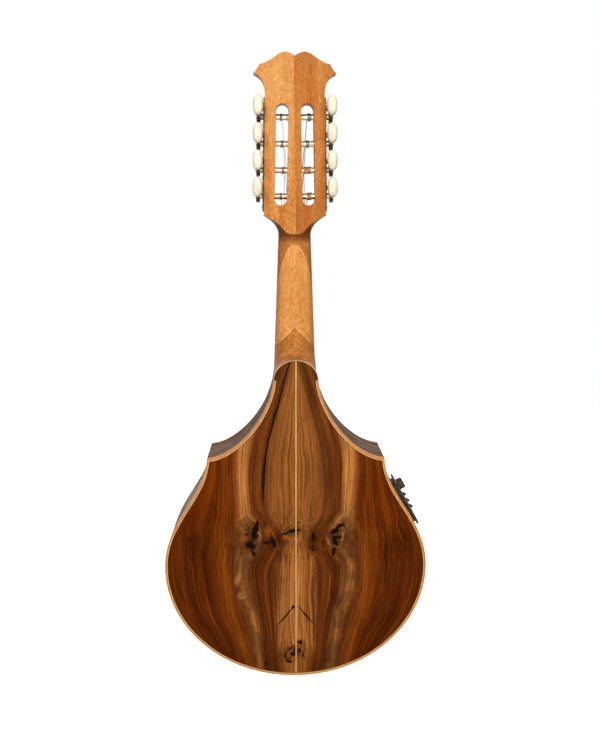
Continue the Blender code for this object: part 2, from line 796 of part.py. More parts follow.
def build_neck():
    stations = eased(HEAD_CORNER_Z + HEAD_LAP, VOLUTE_START, VOLUTE_STEPS, 1.0)
    stations += [(VOLUTE_START + HEEL_START) / 2]
    stations += eased(HEEL_TOP, HEEL_START, HEEL_STEPS, 1.6)[::-1]
    stations += eased(HEEL_TOP, SHOULDER_Z, SHOULDER_STEPS, 2.0)[1:]
    rings = [neck_ring(z) for z in stations]
    neck = loft("neck", rings, Matrix.Identity(4), NECK_WOOD)
    foot_low = HEEL_LOW + GAP
    foot_high = TOP_INNER - GAP
    foot_length = SHOULDER_Z + FOOT_LAP - FOOT_END
    foot_size = (2 * FOOT_HALF_WIDTH, foot_high - foot_low, foot_length)
    foot_center = place(0.0, (foot_low + foot_high) / 2, FOOT_END + foot_size[2] / 2)
    fuse(neck, box("neck_foot", foot_size, foot_center, NECK_WOOD))
    half = head_half()
    outline = full_loop(half)
    thickness_back = BODY_DEPTH - HEAD_THICKNESS
    head = slab("head_block", [outline], thickness_back, BODY_DEPTH, NECK_WOOD)
    fuse(neck, tilted(head))
    for side in (1, -1):
        cut(neck, slot_cutter("slot_cut_%d" % side, side))
        cut(neck, ramp_cutter("ramp_cut_%d" % side, side))
        frame = machine_frame(side)
        for row in range(ROWS):
            reach = ROLLER_INNER + 2.0 * MM
            center = Matrix.Translation((side * (2.0 * MM - reach / 2), 0.0, row * ROW_PITCH))
            radius = (ROLLER_RADIUS + BORE_CLEARANCE) / math.cos(math.pi / BORE_SIDES)
            bore = cylinder("bore_%d_%d" % (side, row), radius, reach + 2.0 * MM,
                            frame @ center @ TO_X, DARK_WOOD, BORE_SIDES)
            cut(neck, bore)
    veneer_loop = [(VENEER_END_HALF, NUT_LENGTH + 2 * GAP), (HEAD_CORNER_X, HEAD_CORNER_Z)]
    veneer = veneer_loop + half[1:]
    front = BODY_DEPTH + GAP
    face = slab("head_veneer", [full_loop(veneer)], front, front + VENEER_THICKNESS,
                DARK_WOOD)
    tilted(face)
    for side in (1, -1):
        cut(face, slot_cutter("veneer_slot_%d" % side, side))
        cut(face, ramp_cutter("veneer_ramp_%d" % side, side))


def fingerboard_half(z):
    return NUT_HALF_WIDTH - z * NECK_TAPER


def build_fingerboard():
    low = BODY_DEPTH + GAP
    high = low + FINGERBOARD_THICKNESS
    end = FINGERBOARD_END
    loop = [
        (-fingerboard_half(0.0), 0.0),
        (fingerboard_half(0.0), 0.0),
        (fingerboard_half(end), end),
        (-fingerboard_half(end), end),
    ]
    board = slab("fingerboard", [loop], low, high, DARK_WOOD)
    for number in range(1, FRETS + 1):
        z = -SCALE * (1 - 2 ** (-number / 12))
        width = 2 * fingerboard_half(z) - 0.6 * MM
        size = (width, 2 * FRET_HEIGHT, FRET_WIDTH)
        center = place(0.0, high, z)
        fuse(board, box("fret_%02d" % number, size, center, STEEL))
    nut_size = (2 * NUT_HALF_WIDTH, STRING_AT_NUT - 2 * GAP - STRING_RADIUS[1][0] - low,
                NUT_LENGTH)
    center = place(0.0, low + nut_size[1] / 2, GAP + NUT_LENGTH / 2)
    box("nut", nut_size, center, IVORY, bevel=0.4 * MM)


def bridge_ring(x, height, width):
    """Cross-section of the bridge base: flat underneath, its upper edges eased off."""
    low = BODY_DEPTH + GAP
    high = low + height
    half = width / 2
    edge = min(BRIDGE_EDGE, height / 2)
    return [
        place(x, low, BRIDGE_Z - half),
        place(x, high - edge, BRIDGE_Z - half),
        place(x, high, BRIDGE_Z - half + edge),
        place(x, high, BRIDGE_Z + half - edge),
        place(x, high - edge, BRIDGE_Z + half),
        place(x, low, BRIDGE_Z + half),
    ]


def build_bridge():
    """Base with a level middle and a thin wing at each end, pickup strip and saddle."""
    tip = BRIDGE_LENGTH / 2
    wing = []
    for index in range(WING_STEPS + 1):
        share = index / WING_STEPS
        x = WING_START + (tip - WING_START) * share
        sweep = (1.0 - share) ** 2
        height = WING_TIP_HEIGHT + (BRIDGE_HEIGHT - WING_TIP_HEIGHT) * sweep
        width = WING_TIP_WIDTH + (BRIDGE_WIDTH - WING_TIP_WIDTH) * sweep
        wing.append((x, height, width))
    rings = [bridge_ring(-x, height, width) for x, height, width in reversed(wing)]
    rings += [bridge_ring(x, height, width) for x, height, width in wing]
    base = loft("bridge_base", rings, Matrix.Identity(4), DARK_WOOD)
    base_high = BODY_DEPTH + GAP + BRIDGE_HEIGHT
    slot_low = base_high - SADDLE_SEAT_DEPTH
    slot_width = SADDLE_WIDTH + 2 * GAP
    slot_size = (SADDLE_LENGTH + 2 * GAP, 2 * SADDLE_SEAT_DEPTH, slot_width)
    slot_center = place(0.0, slot_low + slot_size[1] / 2, BRIDGE_Z)
    cut(base, box("saddle_slot", slot_size, slot_center, DARK_WOOD))
    strip = (SADDLE_LENGTH - SADDLE_WIDTH, PICKUP_HEIGHT, SADDLE_WIDTH - 2 * GAP)
    strip_center = place(0.0, slot_low + GAP + strip[1] / 2, BRIDGE_Z)
    box("pickup", strip, strip_center, BRASS)
    saddle_low = slot_low + 2 * GAP + PICKUP_HEIGHT
    saddle_high = STRING_AT_BRIDGE - STRING_RADIUS[1][0] - GAP
    size = (SADDLE_LENGTH, saddle_high - saddle_low, SADDLE_WIDTH)
    center = place(0.0, saddle_low + size[1] / 2, BRIDGE_Z)
    box("bridge_saddle", size, center, IVORY, bevel=0.5 * MM)


def build_tail():
    depth = RIB_HIGH - RIB_LOW - 2 * LINING_DEPTH
    block_size = (TAIL_BLOCK_WIDTH, depth, TAIL_BLOCK_LENGTH)
    inner_z = TAIL_Z + RIB_THICKNESS + GAP + TAIL_BLOCK_SETBACK
    center = place(0.0, BODY_DEPTH / 2, inner_z + TAIL_BLOCK_LENGTH / 2)
    block = box("tail_block", block_size, center, INNER_WOOD)
    down = Matrix.Translation(place(0.0, JACK_DEPTH, TAIL_Z))
    bore_radius = JACK_BARREL_RADIUS + BORE_CLEARANCE
    cut(block, cylinder("block_bore", bore_radius, 3 * JACK_LENGTH, down, INNER_WOOD, 20))
    profile = [
        (0.0, JACK_LENGTH),
        (JACK_BARREL_RADIUS, JACK_LENGTH),
        (JACK_BARREL_RADIUS, -GAP),
        (JACK_RIM_RADIUS, -GAP),
        (JACK_RIM_RADIUS, JACK_RIM_EDGE - JACK_RIM_HEIGHT),
        (JACK_RIM_RADIUS - JACK_RIM_EDGE, -JACK_RIM_HEIGHT),
        (0.0, -JACK_RIM_HEIGHT),
    ]
    jack = turned("output_jack", profile, down, STEEL, 20)
    socket = Matrix.Translation((0.0, 0.0, -JACK_RIM_HEIGHT))
    cut(jack, cylinder("jack_socket", JACK_PLUG_RADIUS, 2 * JACK_PLUG_DEPTH,
                       down @ socket, STEEL, 12))
    low = BODY_DEPTH + GAP
    high = low + TAIL_METAL
    wall = TAIL_Z - GAP
    bar_end = STRING_END_Z - GAP
    bar_high = STRING_AT_TAIL + TAIL_BAR_LIP
    skirt_end = BODY_DEPTH - TAIL_SKIRT
    outline = [
        (high, wall - TAIL_METAL),
        (high, bar_end - TAIL_BAR_LENGTH),
        (bar_high, bar_end - TAIL_BAR_LENGTH),
        (bar_high, bar_end),
        (low, bar_end),
        (low, wall),
        (skirt_end, wall),
        (skirt_end, wall - TAIL_METAL),
    ]
    across = Matrix(((0, 0, 1, 0), (1, 0, 0, 0), (0, 1, 0, 0), (0, 0, 0, 1)))
    spot = Matrix.Translation((0.0, BACK_Y, 0.0)) @ across
    extrusion("tailpiece", [outline], TAIL_PLATE_WIDTH, spot, STEEL)
    return bore_radius


def preamp_frame():
    """Frame on the right rib: X out of the wood, Z along the rib to the head."""
    half = PANEL_LENGTH / 2
    ends = []
    for offset in (half, -half):
        best = min(OUTLINE, key=lambda p: abs(p[1] - (PANEL_Z + offset * 0.86))
                   + (1.0 if p[1] > POINT_Z else 0.0))
        ends.append(Vector((best[0], best[1])))
    along = (ends[0] - ends[1]).normalized()
    out = Vector((-along.y, along.x))
    if out.x < 0:
        out = -out
    reach = max((Vector(p) - ends[0]).dot(out) for p in OUTLINE if p[1] < POINT_Z)
    anchor = Vector((outline_x(PANEL_Z), PANEL_Z))
    anchor += out * (reach - (anchor - ends[0]).dot(out))
    angle = math.atan2(out.y, out.x)
    origin = place(anchor.x, PANEL_DEPTH, anchor.y)
    return Matrix.Translation(origin) @ Matrix.Rotation(-angle, 4, "Y")


def build_preamp(rib):
    frame = preamp_frame()
    top = GAP + PANEL_THICKNESS
    size = (PANEL_THICKNESS, PANEL_WIDTH, PANEL_LENGTH)
    unit = box("preamp_unit", size, (GAP + PANEL_THICKNESS / 2, 0.0, 0.0), BLACK, frame,
               bevel=PANEL_EDGE)
    case = (BOX_HEIGHT, BOX_WIDTH, BOX_LENGTH)
    case_center = (GAP + BOX_LAP - BOX_HEIGHT / 2, 0.0, 0.0)
    fuse(unit, box("preamp_case", case, case_center, BLACK, frame))
    opening = (2 * BOX_HEIGHT, BOX_WIDTH + 4 * GAP, BOX_LENGTH + 4 * GAP)
    cut(rib, box("preamp_opening", opening, (0.0, 0.0, 0.0), RIB_WOOD, frame))
    knob_s = PANEL_LENGTH / 2 - KNOB_FROM_END
    knob_spot = frame @ Matrix.Translation((top, 0.0, knob_s)) @ TO_X
    bore = KNOB_STEM_RADIUS + BORE_CLEARANCE
    cut(unit, cylinder("knob_bore", bore, 2 * KNOB_STEM_DEPTH, knob_spot, BLACK, 16))
    knob_top = GAP + KNOB_HEIGHT
    stem_end = 2 * GAP - KNOB_STEM_DEPTH
    profile = [
        (0.0, knob_top),
        (KNOB_RADIUS - KNOB_EDGE, knob_top),
        (KNOB_RADIUS, knob_top - KNOB_EDGE),
        (KNOB_RADIUS, GAP),
        (KNOB_STEM_RADIUS, GAP),
        (KNOB_STEM_RADIUS, stem_end),
        (0.0, stem_end),
    ]
    turned("preamp_knob", profile, knob_spot, BLACK, 20)
    slot_length = 2 * SLIDER_TRAVEL + SLIDER_STEM_LENGTH + 4 * GAP
    slot_width = SLIDER_STEM_WIDTH + 2 * SLIDER_CLEARANCE
    slot_size = (2 * SLIDER_SLOT_DEPTH, slot_length, slot_width)
    stem_low = 2 * GAP - SLIDER_SLOT_DEPTH
    stem_high = GAP + SLIDER_CAP_HEIGHT / 4
    stem_size = (stem_high - stem_low, SLIDER_STEM_LENGTH, SLIDER_STEM_WIDTH)
    half = SLIDER_CAP_LENGTH / 2
    cap_top = GAP + SLIDER_CAP_HEIGHT
    fin = [
        (GAP, half),
        (GAP, -half),
        (cap_top, -half),
        (cap_top, SLIDER_FIN_TIP - half),
        (GAP + SLIDER_FIN_TIP, half),
    ]
    for number in range(1, SLIDERS + 1):
        s = knob_s - SLIDER_FROM_KNOB - SLIDER_PITCH * (number - 1)
        origin = frame @ Matrix.Translation((top, 0.0, s))
        cut(unit, box("slider_slot_%d" % number, slot_size, (0.0, 0.0, 0.0), BLACK, origin))
        name = "preamp_slider_%d" % number
        slider = extrusion(name, [fin], SLIDER_CAP_WIDTH, origin @ FIN_AXES, BLACK)
        center = ((stem_low + stem_high) / 2, 0.0, 0.0)
        fuse(slider, box("slider_stem_%d" % number, stem_size, center, BLACK, origin))


THREAD = (
    (-0.44, -1.0), (-0.30, -1.0), (-0.21, 0.0), (-0.12, 1.0), (-0.04, 1.0),
    (0.04, 1.0), (0.12, 1.0), (0.21, 0.0), (0.30, -1.0), (0.42, -1.0),
)


def worm_mesh(side):
    """Single-start worm about local Y; its crest at the middle faces the gear."""
    pitch = 2 * math.pi * GEAR_PITCH_RADIUS / GEAR_TEETH
    pitch_radius = MESH_DISTANCE - GEAR_PITCH_RADIUS
    tip = pitch_radius + ADDENDUM
    root = pitch_radius - DEDENDUM
    half = WORM_LENGTH / 2
    turns = WORM_LENGTH / pitch
    count = int(round(turns * WORM_STEPS))

    def section(v, thread):
        ring = []
        for share, level in THREAD:
            angle = -math.pi / 2 + 2 * math.pi * (v / pitch - share)
            radius = SHAFT_RADIUS
            if thread:
                radius = pitch_radius + (tip - pitch_radius) * max(level, 0.0)
                radius += (pitch_radius - root) * min(level, 0.0)
            ring.append(Vector((side * radius * math.cos(angle), v,
                                radius * math.sin(angle))))
        return ring

    front = half + GAP + BLOCK_LENGTH + SHAFT_END
    rear = -(BUTTON_FACE - BUTTON_LENGTH - GAP)
    sections = [section(rear, False), section(-half, False)]
    for index in range(count + 1):
        sections.append(section(-half + WORM_LENGTH * index / count, True))
    sections.append(section(half, False))
    sections.append(section(front, False))
    return sections


def gear_sections(side):
    """Toothed disc about local X with teeth that follow the worm's lead."""
    pitch = 2 * math.pi * GEAR_PITCH_RADIUS / GEAR_TEETH
    worm_radius = MESH_DISTANCE - GEAR_PITCH_RADIUS
    lead_angle = math.atan2(pitch, 2 * math.pi * worm_radius)
    twist = math.tan(lead_angle) * (GEAR_WIDTH / 2) / GEAR_PITCH_RADIUS
    tip = GEAR_PITCH_RADIUS + ADDENDUM
    root = GEAR_PITCH_RADIUS - DEDENDUM
    step = 2 * math.pi / GEAR_TEETH
    sections = []
    for offset, turn in ((-GEAR_WIDTH / 2, twist), (GEAR_WIDTH / 2, -twist)):
        ring = []
        for tooth in range(GEAR_TEETH):
            middle = math.pi / 2 + step * (tooth + 0.5)
            for share, radius in ((-0.31, root), (-0.12, tip), (0.12, tip), (0.31, root)):
                angle = middle + step * share + turn
                ring.append(Vector((side * (MACHINE_OFFSET + offset),
                                    radius * math.cos(angle), radius * math.sin(angle))))
        sections.append(ring)
    return sections


def build_machine(side, label):
    frame = machine_frame(side)
    hub = bpy.data.objects.new("machine_%s" % label, None)
    hub.matrix_world = frame
    hub.empty_display_size = 0.01
    PARTS.objects.link(hub)

    low = PLATE_LOW - ROW_Z
    high = PLATE_HIGH - ROW_Z
    size = (PLATE_METAL, PLATE_WIDTH, high - low)
    plate_center = (side * (GAP + PLATE_METAL / 2), 0.0, (low + high) / 2)
    plate = box("tuner_plate_%s" % label, size, plate_center, BRASS, frame)
    block_reach = MACHINE_OFFSET + BLOCK_HEIGHT / 2
    block_foot = GAP + PLATE_METAL / 3
    block_size = (block_reach - block_foot, BLOCK_LENGTH, BLOCK_HEIGHT)
    block_x = side * (block_foot + block_size[0] / 2)
    block_y = WORM_LENGTH / 2 + GAP + BLOCK_LENGTH / 2
    shaft_bore = SHAFT_RADIUS + BORE_CLEARANCE
    hole = ROLLER_RADIUS + BORE_CLEARANCE

    first_gear = None
    first_worm = None
    first_button = None
    for row in range(ROWS):
        z = row * ROW_PITCH
        name = "%s_%d" % (label, row + 1)
        for end in (1, -1):
            center = (block_x, end * block_y, z + MESH_DISTANCE)
            fuse(plate, box("block_%s_%d" % (name, end), block_size, center, BRASS, frame))
        shaft = frame @ Matrix.Translation((side * MACHINE_OFFSET, 0.0, z + MESH_DISTANCE))
        cut(plate, cylinder("shaft_bore_%s" % name, shaft_bore, 4 * block_y,
                            shaft @ TO_Y, BRASS, 10))
        axle = frame @ Matrix.Translation((0.0, 0.0, z))
        cut(plate, cylinder("roller_hole_%s" % name, hole, 2 * block_foot + 4 * PLATE_METAL,
                            axle @ TO_X, BRASS, 12))

        if first_gear is None:
            gear = loft("roller_%s" % name, gear_sections(side), axle, STEEL)
            first_gear = gear
            outer = MACHINE_OFFSET + GEAR_WIDTH / 2
            profile = [
                (0.0, outer + GEAR_HUB_HEIGHT),
                (GEAR_HUB_RADIUS, outer + GEAR_HUB_HEIGHT),
                (GEAR_HUB_RADIUS, MACHINE_OFFSET),
                (ROLLER_RADIUS, MACHINE_OFFSET),
                (ROLLER_RADIUS, GAP - ROLLER_INNER),
                (0.0, GAP - ROLLER_INNER),
            ]
            flip = Matrix.Identity(4) if side > 0 else Matrix.Rotation(math.pi, 4, "Z")
            drum = turned("drum_%s" % name, profile, axle @ flip @ TO_X, STEEL, 12)
            fuse(gear, drum)
            first_gear = as_mesh(gear, STEEL)
            helper(drum)
            gear = first_gear
            worm = loft("worm_%s" % name, worm_mesh(side), shaft, BRASS)
            first_worm = worm
            bpy.ops.mesh.primitive_cylinder_add(vertices=16, radius=0.5, depth=1.0)
            button = bpy.context.active_object
            button.name = "button_%s" % name
            button.data.transform(TO_X)
            middle = -(BUTTON_FACE - BUTTON_LENGTH / 2)
            button.data.transform(Matrix.Translation((0.0, middle, 0.0)) @ Matrix.Diagonal(
                (BUTTON_THICKNESS, BUTTON_LENGTH, BUTTON_HEIGHT, 1.0)))
            button.matrix_world = shaft
            adopt(button, IVORY)
            edge = button.modifiers.new("bevel", "BEVEL")
            edge.width = BUTTON_EDGE
            edge.segments = 1
            edge.limit_method = "ANGLE"
            edge.angle_limit = math.radians(50)
            first_button = button = as_mesh(button, IVORY)
        else:
            gear = bpy.data.objects.new("roller_%s" % name, first_gear.data)
            gear.matrix_world = axle
            PARTS.objects.link(gear)
            worm = bpy.data.objects.new("worm_%s" % name, first_worm.data)
            worm.matrix_world = shaft
            PARTS.objects.link(worm)
            button = bpy.data.objects.new("button_%s" % name, first_button.data)
            button.matrix_world = shaft
            PARTS.objects.link(button)
        bpy.context.view_layer.update()
        for child in (gear, worm, button):
            world = child.matrix_world.copy()
            child.parent = hub
            child.matrix_world = world
    world = plate.matrix_world.copy()
    plate.parent = hub
    plate.matrix_world = world


def string_points(side, row):
    """One string: tailpiece, bridge, nut, roller and its winding."""
    radius = STRING_RADIUS[side][row]
    course = 1 - row // 2
    pair = 1 if row % 2 == 0 else -1
    nut_x = side * (NUT_COURSE_X[course] + pair * NUT_PAIR)
    bridge_x = side * (BRIDGE_COURSE_X[course] + pair * BRIDGE_PAIR)
    points = [
        place(bridge_x, STRING_AT_TAIL, STRING_END_Z),
        place(bridge_x, STRING_AT_BRIDGE, BRIDGE_Z),
        place(nut_x, STRING_AT_NUT, NUT_LENGTH / 2 + GAP),
    ]
    frame = machine_frame(side) @ Matrix.Translation((0.0, 0.0, row * ROW_PITCH))
    local_nut = frame.inverted() @ points[-1]
    wind_radius = (ROLLER_RADIUS + GAP + radius) / math.cos(math.pi / LOOP_POINTS)
    flat = Vector((local_nut.y, local_nut.z))
    distance = flat.length
    start = math.atan2(flat.y, flat.x) + math.acos(wind_radius / distance)
    pitch = 2 * radius + WINDING_GAP
    inner = WINDING_START[row]
    count = int(WINDING_LOOPS * LOOP_POINTS)
    winding = []
    for index in range(count + 1):
        turn = index / LOOP_POINTS
        angle = start + 2 * math.pi * turn
        x = side * (pitch * turn - inner)
        local = Vector((x, wind_radius * math.cos(angle), wind_radius * math.sin(angle)))
        winding.append(frame @ local)
    return points + winding, winding, radius


def least_self_gap(points, radius, skip):
    """Smallest space between turns of a winding, measured between its points."""
    least = 1.0
    for i, first in enumerate(points):
        for second in points[i + skip:]:
            least = min(least, (first - second).length - 2 * radius)
    return least


def build_strings():
    for side, label in ((1, "right"), (-1, "left")):
        for row in range(ROWS):
            points, winding, radius = string_points(side, row)
            mat = COPPER if side > 0 and row < 2 else STEEL
            name = "string_%s_%d" % (label, row + 1)
            tube(name, points, radius, mat)
            gap = least_self_gap(winding, radius, LOOP_POINTS // 2)
            print("%s winding, least gap %.2f mm" % (name, gap / MM))


def build_battery():
    size = BATTERY_SIZE
    center = place(BATTERY_X, PLATE_THICKNESS + GAP + size[1] / 2, BATTERY_Z)
    box("battery", size, center, BLACK, bevel=BATTERY_EDGE)


def main():
    build_back()
    ribs = build_ribs()
    build_top()
    build_frame("back_frame", PLATE_THICKNESS + GAP, BACK_BRACES)
    build_frame("top_frame", TOP_INNER - GAP - LINING_DEPTH, TOP_BRACES)
    build_neck()
    build_fingerboard()
    build_bridge()
    bore = build_tail()
    down = Matrix.Translation(place(0.0, JACK_DEPTH, TAIL_Z))
    for name in ("rib_right", "rib_left"):
        cut(ribs[name], cylinder("jack_hole_%s" % name, bore, 2 * CUT_REACH, down, RIB_WOOD, 20))
    build_preamp(ribs["rib_right"])
    for side, label in ((1, "right"), (-1, "left")):
        build_machine(side, label)
    build_strings()
    build_battery()
    for obj in PARTS.objects:
        if obj.type == "MESH":
            smooth(obj.data)
    bpy.context.view_layer.update()


main()
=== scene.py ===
"""Looks of an eight-string flat-back mandolin with a slotted head and a side preamp.

Frame: +Z to the head, +X to the bass side, the back faces -Y and the strings +Y.
Numbers are millimetres; place(), shift() and the shape helpers turn them into metres.
"""

import json
import math

import bmesh
import bpy
from mathutils import Matrix, Vector
from mathutils.geometry import interpolate_bezier


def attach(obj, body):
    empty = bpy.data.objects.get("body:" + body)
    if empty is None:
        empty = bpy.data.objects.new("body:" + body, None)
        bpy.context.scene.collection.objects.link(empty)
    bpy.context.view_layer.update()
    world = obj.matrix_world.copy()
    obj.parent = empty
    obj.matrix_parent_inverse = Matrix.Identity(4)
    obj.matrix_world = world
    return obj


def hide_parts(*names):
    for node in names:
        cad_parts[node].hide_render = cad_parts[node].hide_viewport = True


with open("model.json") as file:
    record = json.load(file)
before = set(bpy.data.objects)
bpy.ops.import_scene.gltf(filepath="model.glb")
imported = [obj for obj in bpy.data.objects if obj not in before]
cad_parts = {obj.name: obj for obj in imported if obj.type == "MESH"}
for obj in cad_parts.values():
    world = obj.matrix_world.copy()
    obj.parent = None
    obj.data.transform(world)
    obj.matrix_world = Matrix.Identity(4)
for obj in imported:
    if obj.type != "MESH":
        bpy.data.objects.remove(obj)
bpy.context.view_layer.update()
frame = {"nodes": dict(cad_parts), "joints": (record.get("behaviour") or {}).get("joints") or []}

MM = 0.001
BACK_Y = -57
BODY_DEPTH = 65
PLATE = 2.6
RIB = 2.3
BINDING_WIDTH = 2.3
BINDING_DEPTH = 4.7
PURFLE_LINE = 0.5
PURFLE_DEPTH = 1.6
ARCH_EDGE = 0.9
JACK_BORE = 6.25
SHOULDER = (22.6, -151.4)
POINT = (91.2, -233)
WIDEST = (137, -351.8)
TAIL_Z = -475.2
HEEL_CAP_RISE = 20.3
HOLE_Z = -254
HOLE_RADIUS = 31
SCALE = 345
FRETS = 17
NUT_HALF = 16.6
NECK_TAPER = 0.0383
BOARD_END = -219.5
STRING_AT_NUT = 72.4
STRING_AT_BRIDGE = 75.6
STRING_AT_TAIL = 71
STRING_END_Z = -432
COURSES_AT_BRIDGE = (6.9, 20.6)
PAIR_AT_BRIDGE = 1.6
HEAD_TILT = math.radians(2)
HEAD_THICKNESS = 16.5
CORNER = (31.95, 11.4)
SIDE_TOP = (29.9, 131)
ROW_Z = 31.7
ROW_PITCH = 26
ROLLER_DEPTH = 10.5
ROLLER_RADIUS = 3.2
ROLLER_INNER = 26
MACHINE_OFFSET = 6.1
MESH_DISTANCE = 8.5
GEAR_TEETH = 14
GEAR_RADIUS = 6
GAP = 0.3
SIDES = ((1, "right"), (-1, "left"))
ROWS = range(4)


# Node expressions


def operation(name, swapped=False):
    """Method that puts a value and what it is combined with into a Math node."""
    def method(self, *others):
        values = (*others, self) if swapped else (self, *others)
        return self.web.math(name, *values)
    return method


class Value:
    """A socket of a material's node tree that arithmetic can be written with."""

    __add__ = __radd__ = operation("ADD")
    __sub__ = operation("SUBTRACT")
    __rsub__ = operation("SUBTRACT", swapped=True)
    __mul__ = __rmul__ = operation("MULTIPLY")
    __truediv__ = operation("DIVIDE")
    __abs__ = operation("ABSOLUTE")
    sine = operation("SINE")
    exp = operation("EXPONENT")
    top = operation("MAXIMUM")
    low = operation("MINIMUM")

    def __init__(self, web, socket):
        self.web = web
        self.socket = socket

    def smooth(self, low, high):
        """0 below low and 1 above high, with a soft step between; high may be less."""
        flip = float(high < low)
        return self.web.add("MapRange", "Result", {
            "Value": self, "From Min": min(low, high), "From Max": max(low, high),
            "To Min": flip, "To Max": 1 - flip}, interpolation_type="SMOOTHSTEP")

    def bell(self, center, width):
        """Soft hump of height 1 about a centre."""
        offset = (self - center) / width
        return (offset * offset * -1).exp()

    def track(self, points):
        """Smooth curve through (value, result) points, the lowest value first."""
        low, high = points[0][0], points[-1][0]
        reach = max(result for _, result in points)
        found = self.web.add("FloatCurve", 0, {"Value": (self - low) / (high - low)})
        mapping = found.socket.node.mapping
        curve = mapping.curves[0]
        while len(curve.points) < len(points):
            curve.points.new(0.5, 0.5)
        for point, (position, result) in zip(curve.points, points):
            point.location = ((position - low) / (high - low), result / reach)
        mapping.update()
        return found * reach

    def ramp(self, stops):
        """Colour from a value, through (place, red, green, blue) stops."""
        found = self.web.add("ValToRGB", 0, {0: self})
        elements = found.socket.node.color_ramp.elements
        while len(elements) < len(stops):
            elements.new(0.5)
        for element, stop in zip(elements, stops):
            element.position = stop[0]
        for element, stop in zip(elements, stops):
            element.color = linear(stop[1:])
        return found


class Nodes:
    """A node tree that values can be added to."""

    def __init__(self, tree):
        self.tree = tree

    def feed(self, socket, value):
        if isinstance(value, Value):
            self.tree.links.new(value.socket, socket)
        else:
            socket.default_value = value

    def add(self, kind, result, inputs=None, **settings):
        """New node; gives the named result."""
        node = self.tree.nodes.new("ShaderNode" + kind)
        for key, value in settings.items():
            setattr(node, key, value)
        for key, value in (inputs or {}).items():
            self.feed(node.inputs[key], value)
        return Value(self, node.outputs[result])

    def math(self, operation, *values):
        return self.add("Math", 0, dict(enumerate(values)), operation=operation)

    def background_rays(self):
        """1 for rays that see the background: from the camera, mirrored or let through."""
        seen = self.add("LightPath", "Is Camera Ray")
        outputs = seen.socket.node.outputs
        for ray in ("Is Glossy Ray", "Is Transmission Ray"):
            seen = seen.top(Value(self, outputs[ray]))
        return seen


class Web(Nodes):
    """One material, its nodes and the colour that is being painted."""

    def __init__(self, name, **settings):
        self.mat = bpy.data.materials.new(name)
        self.mat.use_nodes = True
        super().__init__(self.mat.node_tree)
        self.shader = self.tree.nodes["Principled BSDF"].inputs
        levels = {"coat_roughness": 0.1, "specular": 0.5, **settings}
        for key, socket in (("roughness", "Roughness"), ("metallic", "Metallic"),
                            ("coat", "Coat Weight"), ("coat_roughness", "Coat Roughness"),
                            ("specular", "Specular IOR Level")):
            self.shader[socket].default_value = levels.get(key, 0)
        split = self.add("SeparateXYZ", 0, {0: self.add("TexCoord", "Object")}).socket.node
        self.x, self.y, self.z = (Value(self, out) * (1 / MM) for out in split.outputs)

    def oval(self, u, v, wide, tall):
        """Soft round spot of height 1 about u = v = 0."""
        a = u / wide
        b = v / tall
        return ((a * a + b * b) * -1).exp()

    def marks(self, x, z, spots):
        """Height of the nearest of several soft, turned ovals."""
        total = None
        for center_x, center_z, wide, tall, turn in spots:
            cos, sin = math.cos(math.radians(turn)), math.sin(math.radians(turn))
            dx = x - center_x
            dz = z - center_z
            spot = self.oval(dx * cos + dz * sin, dz * cos - dx * sin, wide, tall)
            total = total.top(spot) if total else spot
        return total

    def noise(self, x, y, z, detail=2, roughness=0.5, distortion=0):
        vector = self.add("CombineXYZ", 0, {0: x, 1: y, 2: z})
        return self.add("TexNoise", 0, {
            "Vector": vector, "Scale": 1, "Detail": detail, "Roughness": roughness,
            "Distortion": distortion})

    def paint(self, share, tint, under=None):
        """Lay a share of a tint over the colour so far, or over the one given."""
        first = self.color if under is None else under
        pair = [linear(c) if isinstance(c, tuple) else c for c in (first, tint)]
        self.color = self.add("Mix", 2, {"Factor": share, 6: pair[0], 7: pair[1]},
                              data_type="RGBA")

    def shade(self, factor):
        """Vary the brightness of the colour so far."""
        self.color = self.add("VectorMath", 0, {0: self.color, "Scale": factor},
                              operation="SCALE")

    def finish(self, height, depth, roughness=None):
        """Join colour, bump (depth in millimetres) and roughness to the shader."""
        self.feed(self.shader["Base Color"], self.color)
        if roughness is not None:
            self.feed(self.shader["Roughness"], roughness)
        bump = self.add("Bump", 0, {"Distance": depth * MM, "Strength": 1, "Height": height})
        self.feed(self.shader["Normal"], bump)
        return self.mat


def linear(color):
    """Linear light values of a colour given as screen values of 0 to 255."""
    return *((c / 255 / 12.92) if c / 255 <= 0.04045 else ((c / 255 + 0.055) / 1.055) ** 2.4
             for c in color), 1.0


# Woods


SWIRLS = ((46, -318, 9, 15, 0.85), (24, -322, 6, 9, 0.7), (2, -311, 8, 6, 0.6),
          (8, -445, 8, 11, 0.6), (108, -321, 6, 9, 0.45))
CENTER_EDGE = (
    (-480, 15), (-434, 18), (-388, 20.5), (-353, 20), (-326, 13), (-304, 24), (-282, 32.5),
    (-245, 32), (-223, 29.3), (-205, 25.3), (-175, 17.2), (-151, 10.6), (-130, 4.6))
LIGHT_BAND = (
    (-480, 40), (-462, 41), (-433, 43), (-404, 47), (-383, 57), (-359, 60), (-333, 51.5),
    (-318, 46), (-298, 50), (-287, 53.3), (-255, 55.4), (-223, 54.5), (-190, 46), (-130, 26))
ORANGE_BAND = ((-480, 50), (-430, 60), (-387, 71.5), (-342, 73.5), (-290, 71), (-244, 72.6),
               (-190, 66), (-130, 40))
DARK_BAND = ((-480, 62), (-430, 78), (-387, 94), (-314, 96.6), (-244, 84), (-190, 78),
             (-130, 60))
EDGE_BAND = ((-480, 78), (-440, 102), (-400, 126), (-352, 137), (-290, 126), (-233, 100),
             (-190, 92), (-130, 80))
BANDS = ((CENTER_EDGE, 30), (LIGHT_BAND, 55), (ORANGE_BAND, 72), (DARK_BAND, 95),
         (EDGE_BAND, 137))
